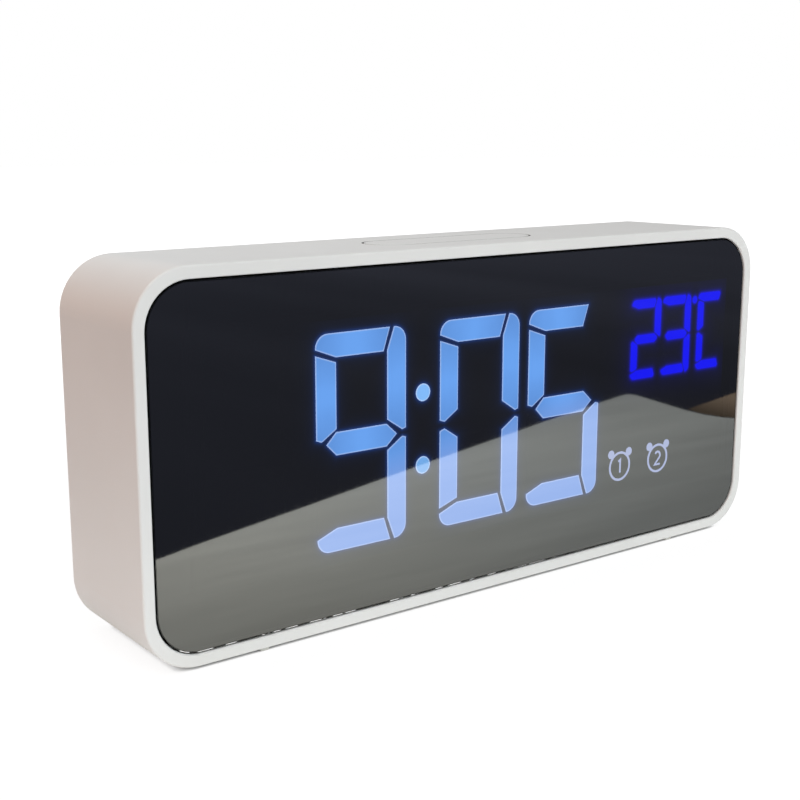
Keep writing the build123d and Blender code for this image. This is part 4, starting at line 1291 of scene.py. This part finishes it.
@dataclass
class Boards:
    """The three circuit boards and all that is soldered to them."""

    DRESS = {
        Stock.BOARD: ("display_board", "snooze_board", "key_board"),
        Stock.EPOXY: ("clock_chip", "sounder", "snooze_switch", "key_switches"),
        Stock.CAN: ("crystal", "capacitor"),
        Stock.ZINC: ("board_screws", "snooze_board_screws", "key_board_screws"),
        Stock.PHOSPHOR: ("led_chips",),
        Stock.RESIN: ("temperature_sensor",),
        Stock.NICKEL: ("power_socket",),
        Stock.INSULATION: ("battery_leads",),
        Stock.RIBBON: ("flat_cable",),
    }

    contact_count: int = 5
    contact_pitch: float = 0.65
    contact_width: float = 0.36
    contact_rise: float = 0.06
    contact_length: float = 2.6
    contact_inset: float = 0.75
    contact_steps: tuple[int, int] = (17, 9)
    tongue_half: float = 0.3

    def build(self) -> None:
        """Makes the socket's contacts and dresses the boards and their parts."""
        self.socket_contacts()
        for stock, nodes in self.DRESS.items():
            dress(stock, *nodes)

    def socket_contacts(self) -> None:
        """Gilded contacts on the socket's tongue.

        Across each contact, the face is half an ellipse. Its width and rise shrink towards both ends by the
        fourth root of one less the eighth power of the place along it, so that the ends close.
        """
        low, high = (np.array(corner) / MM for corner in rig.box("power_socket"))
        middle = (low + high) / 2
        along = np.linspace(-1, 1, self.contact_steps[0])[:, None]
        shrink = np.maximum(1 - along**8, 0.0) ** 0.25
        turn = np.linspace(0, np.pi, self.contact_steps[1])
        aside = shrink * np.cos(turn) * self.contact_width / 2
        up = middle[2] + self.tongue_half + shrink * np.sin(turn) * self.contact_rise
        rear = high[1] - self.contact_inset - self.contact_length * (1 - along) / 2 + 0 * turn
        faces = grid_faces(len(along), len(turn), wrap_columns=True)
        parts = []
        for number in range(self.contact_count):
            place = middle[0] + (number - (self.contact_count - 1) / 2) * self.contact_pitch
            parts.append((np.stack((place + aside, rear, up), axis=-1).reshape(-1, 3), faces))
        make_piece("socket_contacts", *joined(parts), Stock.GILT, "plated_steel")


@dataclass
class Rear:
    """The back cover with its screws, keys, battery door and cells."""

    DRESS = {
        Stock.TEXTURED: ("back_cover", "battery_door"),
        Stock.KEY: ("set_key", "mode_key", "up_key", "down_key", "alarm_key"),
        Stock.NICKEL: ("battery_contacts",),
        Stock.CELL: ("battery_cell_1", "battery_cell_3"),
        Stock.CELL_TURNED: ("battery_cell_2",),
    }

    head_radius: float = 2.4
    head_height: float = 1.2
    head_drop: float = 0.45
    head_power: float = 3.5
    rim_level: float = 0.3
    neck_radius: float = 2.328
    shank_radius: float = 1.3
    shank_length: float = 9.0
    point_start: float = 7.65
    point_radius: float = 0.39
    recess_half_width: float = 0.27
    recess_slope: float = 0.1
    recess_reach: float = 1.35
    recess_end: float = 0.35
    recess_depth: float = 0.75
    dome_steps: int = 40
    turn_steps: int = 120

    def build(self) -> None:
        """Makes the screws and dresses the rest."""
        for stock, nodes in self.DRESS.items():
            dress(stock, *nodes)
        self.screws()

    def screws(self) -> None:
        """The four cover screws, with a cross recess in each pan head.

        The profile is turned about Y: a point is its radius times the cosine and sine of the turn, and its
        level along the axis. On the head's top, the depth of the recess is added where a point is nearer
        than the half width to either of two crossed lines, with a sloped wall.
        """
        low, high = (np.array(corner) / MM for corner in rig.box("cover_screws"))
        top = np.linspace(0, 1, self.dome_steps)
        dome = self.head_height * (1 - self.head_drop * top**self.head_power)
        dome = np.column_stack((top * self.head_radius, dome))
        below = (
            (self.head_radius, self.rim_level),
            (self.neck_radius, 0.0),
            (self.shank_radius, 0.0),
            (self.shank_radius, -self.point_start),
            (self.point_radius, -self.shank_length),
            (0.0, -self.shank_length),
        )
        radius, level = np.vstack((dome, below)).T[:, :, None]
        turn = np.linspace(0, 2 * np.pi, self.turn_steps, endpoint=False)
        depth = high[1] - self.head_height + level + 0 * turn
        points = np.stack((radius * np.cos(turn), depth, -radius * np.sin(turn)), axis=-1).reshape(-1, 3)
        aside = np.minimum(np.abs(points[:, 0]), np.abs(points[:, 2]))
        wall = np.clip((self.recess_half_width + self.recess_slope - aside) / self.recess_slope, 0, 1)
        end = np.clip((self.recess_reach - np.hypot(points[:, 0], points[:, 2])) / self.recess_end, 0, 1)
        on_top = np.arange(len(points)) < len(dome) * self.turn_steps
        points[:, 1] -= on_top * wall * end * self.recess_depth
        faces = grid_faces(*depth.shape, wrap_columns=True)
        inset = self.head_radius
        parts = [
            (points + (x, 0.0, z), faces)
            for x in (low[0] + inset, high[0] - inset)
            for z in (low[2] + inset, high[2] - inset)
        ]
        piece = make_piece("cover_screws_cross_head", *joined(parts), Stock.ZINC, "screw_steel")
        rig.replaces(piece, "cover_screws")


# Stage


@dataclass
class Stage:
    """Pale floor, soft light, and what the half mirror shows: a table that ends before a dim room."""

    floor_half: float = 4000.0
    lift: float = 0.05
    room_reach: float = 1200.0
    room_right: float = 700.0
    room_start: float = 130.0
    room_end: float = 60.0
    table_front: tuple[tuple[float, float], ...] = (
        (-700.0, 130.0), (-53.3, -73.9), (-34.4, -80.2), (3.0, -91.2), (59.1, -108.3), (118.7, -125.9),
        (162.0, -138.2), (176.3, -142.0), (180.6, -142.6), (181.9, -140.2), (179.9, -130.4), (175.9, -113.2),
        (174.6, -103.2), (175.8, -95.8), (179.9, -88.6), (184.0, 60.0),
    )
    card: tuple[tuple[float, float], ...] = (
        (177.0, -111.0), (212.0, -119.3), (420.0, -165.0), (420.0, 60.0), (184.0, 60.0), (180.2, -89.0),
        (176.2, -96.3), (175.1, -104.0),
    )
    # Name, place, side, power in watts and colour of each lamp
    lamps: tuple[tuple, ...] = (
        ("key_lamp", (150.0, -1300.0, 700.0), 1300.0, 8.5, "#f2ffff"),
        ("top_lamp", (-250.0, 0.0, 720.0), 600.0, 1.0, "#ffffff"),
    )
    lamp_target: tuple[float, float, float] = (0.0, 0.0, 37.0)
    # To the camera: white, with a painted contact shadow, a dark line where the case is closer than a few millimetres
    contact_reach: float = 3.0
    contact_levels: tuple[float, float] = (0.05, 0.32)
    # Emission lower near the clock: a painted part of its shadow
    seen_light: Span = Span(120.0, 400.0, 0.9, 1.1)
    seen_gray: str = "#6c6c6c"
    # To the mirror: a table lit from the front left, cooler on the right and brown behind
    table_light: tuple = (("Y", Span(-100.0, -20.0, 1.4, 0.72)), ("X", Span(-20.0, 160.0, 1.0, 0.61)))
    # Streaks: their size along each axis, detail, roughness and spread
    table_streaks: tuple = ((60.0, 9.0, 9.0), 4.0, 0.6, 0.18)
    table_colors: tuple[str, str] = ("#fffff2", "#fbfff8")
    table_cool: Span = Span(-40.0, 60.0)
    behind_color: str = "#8a6c5c"
    behind: Span = Span(50.0, 220.0)
    # To bounced light: a pale table, a brown room beyond it, and brighter patches beside and before the case
    beyond_colors: tuple[str, str] = ("#5f473c", "#f2f3f5")
    beyond: Span = Span(-260.0, -210.0)
    patches: tuple = (
        ("#cfe6ff", (("X", Span(-180.0, -130.0, high=0.25)), ("X", Span(-80.0, -90.0)))),
        (
            "#fffffa",
            (("X", Span(-110.0, -90.0, high=0.32)), ("Y", Span(-170.0, -130.0)), ("Y", Span(-13.0, -16.0))),
        ),
    )
    room_color: str = "#dde3ff"
    room_light: tuple = (("Y", Span(-120.0, -600.0, 0.08, 0.115)), ("X", Span(290.0, 350.0, 1.0, 1.3)))
    room_streaks: tuple = ((90.0, 900.0, 900.0), 2.0, 0.5, 0.2)
    card_color: str = "#c4ad94"
    card_light: tuple = (("X", Span(178.0, 205.0, 0.35, 1.0)),)
    # The sky: a direction, and what changes while its dot product with the ray goes over a range
    sky_colors: tuple[str, str] = ("#e4e6e8", "#dba37f")
    warm_way: tuple[float, float, float] = (-1.0, 0.0, -0.7)
    warm_range: tuple[float, float] = (-0.1, 0.5)
    weak_way: tuple[float, float, float] = (1.0, -0.1, 0.0)
    weak_range: tuple[float, float, float, float] = (0.2, 0.75, 1.0, 0.4)

    def build(self) -> None:
        """Makes the floor, the room and card seen in the mirror, the lamps and the world."""
        self.floor()
        self.room()
        self.brown_card()
        self.world()
        for name, place, size, power, color in self.lamps:
            self.lamp(name, place, size, power, color)

    def stage_piece(self, name: str, points: np.ndarray, faces: list, material: Material) -> Object:
        """Makes a flat-faced piece of the stage.

        Args:
            name: The piece's name.
            points: Its corners in millimetres.
            faces: Point numbers of its faces.
            material: Its material.

        Returns:
            The piece's object.
        """
        mesh = bpy.data.meshes.new(name)
        mesh.from_pydata((points * MM).tolist(), [], faces)
        mesh.materials.append(material)
        piece = bpy.data.objects.new(name, mesh)
        bpy.context.scene.collection.objects.link(piece)
        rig.stage(piece)
        return piece

    def only_in_reflections(self, piece: Object) -> None:
        """Hides a piece of the stage from all but glossy rays, so that only the mirror shows it."""
        for flag in ("camera", "diffuse", "transmission", "volume_scatter", "shadow"):
            setattr(piece, f"visible_{flag}", False)

    def faded(
        self, tree: NodeTree, axes: NodeOutputs, level: float | Node, spans: Sequence[tuple[str, Span]]
    ) -> float | Node:
        """A level times what each span gives at the place along its axis.

        Args:
            tree: The node tree.
            axes: The sockets of the place, by axis.
            level: A number, or the node that gives it.
            spans: Axes and spans.

        Returns:
            The node of the product, or the level where there are no spans.
        """
        for axis, span in spans:
            step = add_node(tree, "MapRange", axes[axis], *span)
            level = add_node(tree, "Math", level, step, operation="MULTIPLY")
        return level

    def streaked(
        self, tree: NodeTree, place: NodeSocket, sizes: tuple, detail: float, rough: float, spread: float
    ) -> Node:
        """Stretched noise about one, for the brush-like streaks of a surface.

        Args:
            tree: The node tree.
            place: Its Object coordinates.
            sizes: The streaks' size along each axis, in millimetres.
            detail: The noise's detail.
            rough: The noise's roughness.
            spread: How far it goes from one.

        Returns:
            The node of the streaks.
        """
        stretch = add_node(tree, "Mapping", place, Scale=tuple(per_metre(size) for size in sizes))
        noise = add_node(tree, "TexNoise", stretch, 1.0, detail, rough)
        return add_node(tree, "MapRange", noise, To_Min=1 - spread, To_Max=1 + spread)

    def floor(self) -> None:
        """A white floor that keeps the clock's shadow, darkest where the case nearly touches it."""
        material = empty_material("floor_paper_white")
        tree = material.node_tree
        ray = add_node(tree, "LightPath").outputs
        place = add_node(tree, "TexCoord").outputs["Object"]
        axes = add_node(tree, "SeparateXYZ", place).outputs
        beyond = add_node(tree, "MapRange", axes["X"], *self.beyond)
        paper = add_node(tree, "Mix", beyond, *self.beyond_colors, data_type="RGBA")
        paper = add_node(tree, "BsdfDiffuse", paper)
        for color, spans in self.patches:
            sunlit = add_node(tree, "Emission", color, self.faded(tree, axes, 1.0, spans))
            paper = add_node(tree, "AddShader", paper, sunlit)
        glossy, through = ray["Is Glossy Ray"], ray["Is Transmission Ray"]
        through = add_node(tree, "Math", glossy, through, operation="MAXIMUM")
        first = add_node(tree, "MixShader", through, paper, self.floor_mirrored(tree, place, axes))
        whole = add_node(tree, "MixShader", ray["Is Camera Ray"], first, self.floor_seen(tree, place))
        add_node(tree, "OutputMaterial", whole)
        corners = np.array(((-1, -1, 0), (1, -1, 0), (1, 1, 0), (-1, 1, 0))) * self.floor_half
        self.stage_piece("floor", corners, [(0, 1, 2, 3)], material)

    def floor_seen(self, tree: NodeTree, place: NodeSocket) -> Node:
        """What the camera sees of the floor.

        Args:
            tree: The floor's node tree.
            place: Its Object coordinates.

        Returns:
            The surface: white, a little shadow near the clock, partly painted, and a painted dark line where the case
                nearly touches.
        """
        # Painted contact shadow: ambient occlusion darkens the emission where the case is near
        near = add_node(tree, "AmbientOcclusion", Distance=self.contact_reach * MM, samples=16)
        contact = add_node(tree, "MapRange", near.outputs["AO"], *self.contact_levels)
        away = add_node(tree, "VectorMath", place, operation="LENGTH")
        level = add_node(tree, "MapRange", away, *self.seen_light)
        level = add_node(tree, "Math", contact, level, operation="MULTIPLY")
        bright = add_node(tree, "Emission", "#ffffff", level)
        return add_node(tree, "AddShader", bright, add_node(tree, "BsdfDiffuse", self.seen_gray))

    def floor_mirrored(self, tree: NodeTree, place: NodeSocket, axes: NodeOutputs) -> Node:
        """What the half mirror sees of the table.

        The light grows away from the clock and fades to the right, where the paper also looks a little
        cooler, and brush-like streaks run along the table.

        Args:
            tree: The floor's node tree.
            place: Its Object coordinates.
            axes: The sockets of the place, by axis.

        Returns:
            The node of the surface.
        """
        level = self.faded(tree, axes, self.streaked(tree, place, *self.table_streaks), self.table_light)
        cool = add_node(tree, "MapRange", axes["X"], *self.table_cool)
        color = add_node(tree, "Mix", cool, *self.table_colors, data_type="RGBA")
        behind = add_node(tree, "MapRange", axes["Y"], *self.behind)
        color = add_node(tree, "Mix", behind, color, self.behind_color, data_type="RGBA")
        return add_node(tree, "Emission", color, level)

    def room(self) -> None:
        """A dim room beyond the table, for reflections: a sheet past the edge that rises as a wall."""
        material = empty_material("room_dim")
        tree = material.node_tree
        place = add_node(tree, "TexCoord").outputs["Object"]
        axes = add_node(tree, "SeparateXYZ", place).outputs
        level = self.faded(tree, axes, self.streaked(tree, place, *self.room_streaks), self.room_light)
        add_node(tree, "OutputMaterial", add_node(tree, "Emission", self.room_color, level))
        far, right = self.room_reach, self.room_right
        outer = np.array(((right, self.room_end), (right, -far), (-far, -far), (-far, self.room_start)))
        flat = np.vstack((self.table_front, outer))
        points = np.vstack((np.insert(flat, 2, self.lift, axis=1), np.insert(outer[::-1], 2, far, axis=1)))
        count, first = len(flat), len(self.table_front)
        walls = [(first + 3 - at, first + 2 - at, count + at + 1, count + at) for at in range(3)]
        self.only_in_reflections(self.stage_piece("room", points, [tuple(range(count)), *walls], material))

    def brown_card(self) -> None:
        """A brown card beside the table, for reflections, darker towards the clock."""
        material = empty_material("card_brown")
        tree = material.node_tree
        axes = add_node(tree, "SeparateXYZ", add_node(tree, "TexCoord").outputs["Object"]).outputs
        level = self.faded(tree, axes, 1.0, self.card_light)
        add_node(tree, "OutputMaterial", add_node(tree, "Emission", self.card_color, level))
        points = np.insert(self.card, 2, 2 * self.lift, axis=1)
        self.only_in_reflections(self.stage_piece("card", points, [tuple(range(len(points)))], material))

    def world(self) -> None:
        """White to the camera, and for all else a soft sky: warm on the left and weak on the right."""
        world = bpy.data.worlds.new("studio")
        bpy.context.scene.world = world
        world.use_nodes = True
        tree = world.node_tree
        tree.nodes.clear()
        way = add_node(tree, "TexCoord").outputs["Generated"]
        warm = add_node(tree, "VectorMath", way, self.warm_way, operation="DOT_PRODUCT")
        warm = add_node(tree, "MapRange", warm, *self.warm_range)
        color = add_node(tree, "Mix", warm, *self.sky_colors, data_type="RGBA")
        weak = add_node(tree, "VectorMath", way, self.weak_way, operation="DOT_PRODUCT")
        soft = add_node(tree, "Background", color, add_node(tree, "MapRange", weak, *self.weak_range))
        white = add_node(tree, "Background", "#ffffff", 1.0)
        camera_ray = add_node(tree, "LightPath").outputs["Is Camera Ray"]
        add_node(tree, "OutputWorld", add_node(tree, "MixShader", camera_ray, soft, white))

    def lamp(self, name: str, place: tuple, size: float, power: float, color: str) -> None:
        """Adds a square soft lamp that looks at the clock.

        Args:
            name: The lamp's name.
            place: Where it stands, in millimetres.
            size: Its side, in millimetres.
            power: Its power in watts.
            color: Its hex colour.
        """
        light = bpy.data.lights.new(name, "AREA")
        light.shape = "SQUARE"
        light.size = size * MM
        light.energy = power
        light.color = linear(color)[:3]
        lamp = bpy.data.objects.new(name, light)
        bpy.context.scene.collection.objects.link(lamp)
        lamp.location = Vector(place) * MM
        look = Vector(self.lamp_target) * MM - lamp.location
        lamp.rotation_euler = look.to_track_quat("-Z", "Y").to_euler()


@dataclass
class View:
    """The photograph's viewpoint: its place in case widths from the middle of the case, its turn in degrees,
    and its roll in radians.
    """

    azimuth: float = -35.7319
    elevation: float = 11.6297
    roll: float = 0.006
    place_shares: tuple[float, float, float] = (-1.0678, -1.2848, 0.3538)
    focal_share: float = 1.5959
    centre_share: tuple[float, float] = (0.45, 0.5)
    sensor: float = 36.0
    clip_start: float = 0.01

    def build(self) -> None:
        """Makes the camera and sets it as the scene's."""
        low, high = (np.array(corner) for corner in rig.box("housing_shell"))
        middle = (low + high) / 2
        width = high[0] - low[0]
        turn, lift = np.radians(self.azimuth), np.radians(self.elevation)
        back = np.array((np.sin(turn) * np.cos(lift), -np.cos(turn) * np.cos(lift), np.sin(lift)))
        right = np.cross(-back, (0, 0, 1.0))
        right /= np.linalg.norm(right)
        down = np.cross(-back, right)
        cosine, sine = np.cos(self.roll), np.sin(self.roll)
        rolled_right = cosine * right + sine * down
        rolled_down = -sine * right + cosine * down
        data = bpy.data.cameras.new("camera")
        data.sensor_width = self.sensor
        data.lens = self.focal_share * self.sensor
        data.shift_x = 0.5 - self.centre_share[0]
        data.shift_y = self.centre_share[1] - 0.5
        data.clip_start = self.clip_start
        camera = bpy.data.objects.new("camera", data)
        bpy.context.scene.collection.objects.link(camera)
        axes = np.column_stack((rolled_right, -rolled_down, back))
        turned = Matrix(axes.tolist()).to_4x4()
        place = Vector(middle + np.array(self.place_shares) * width)
        camera.matrix_world = Matrix.Translation(place) @ turned
        bpy.context.scene.camera = camera


def main() -> None:
    """Builds the clock and its stage in order, and writes the two boxes."""
    logging.basicConfig(level=logging.INFO, format="%(message)s")
    bpy.context.scene.view_settings.view_transform = "Standard"
    View().build()
    Stage().build()
    for assembly in (Case(), Display(), Boards(), Rear()):
        assembly.build()
    boxes = {"cad": CAD_BOUNDS, "visual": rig.bounds()}
    plain = {name: [[float(part) for part in corner] for corner in box] for name, box in boxes.items()}
    with open("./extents.json", "w", encoding="utf-8") as file:
        json.dump(plain, file)
    log.info("sizes %s", plain)


if __name__ == "__main__":
    main()
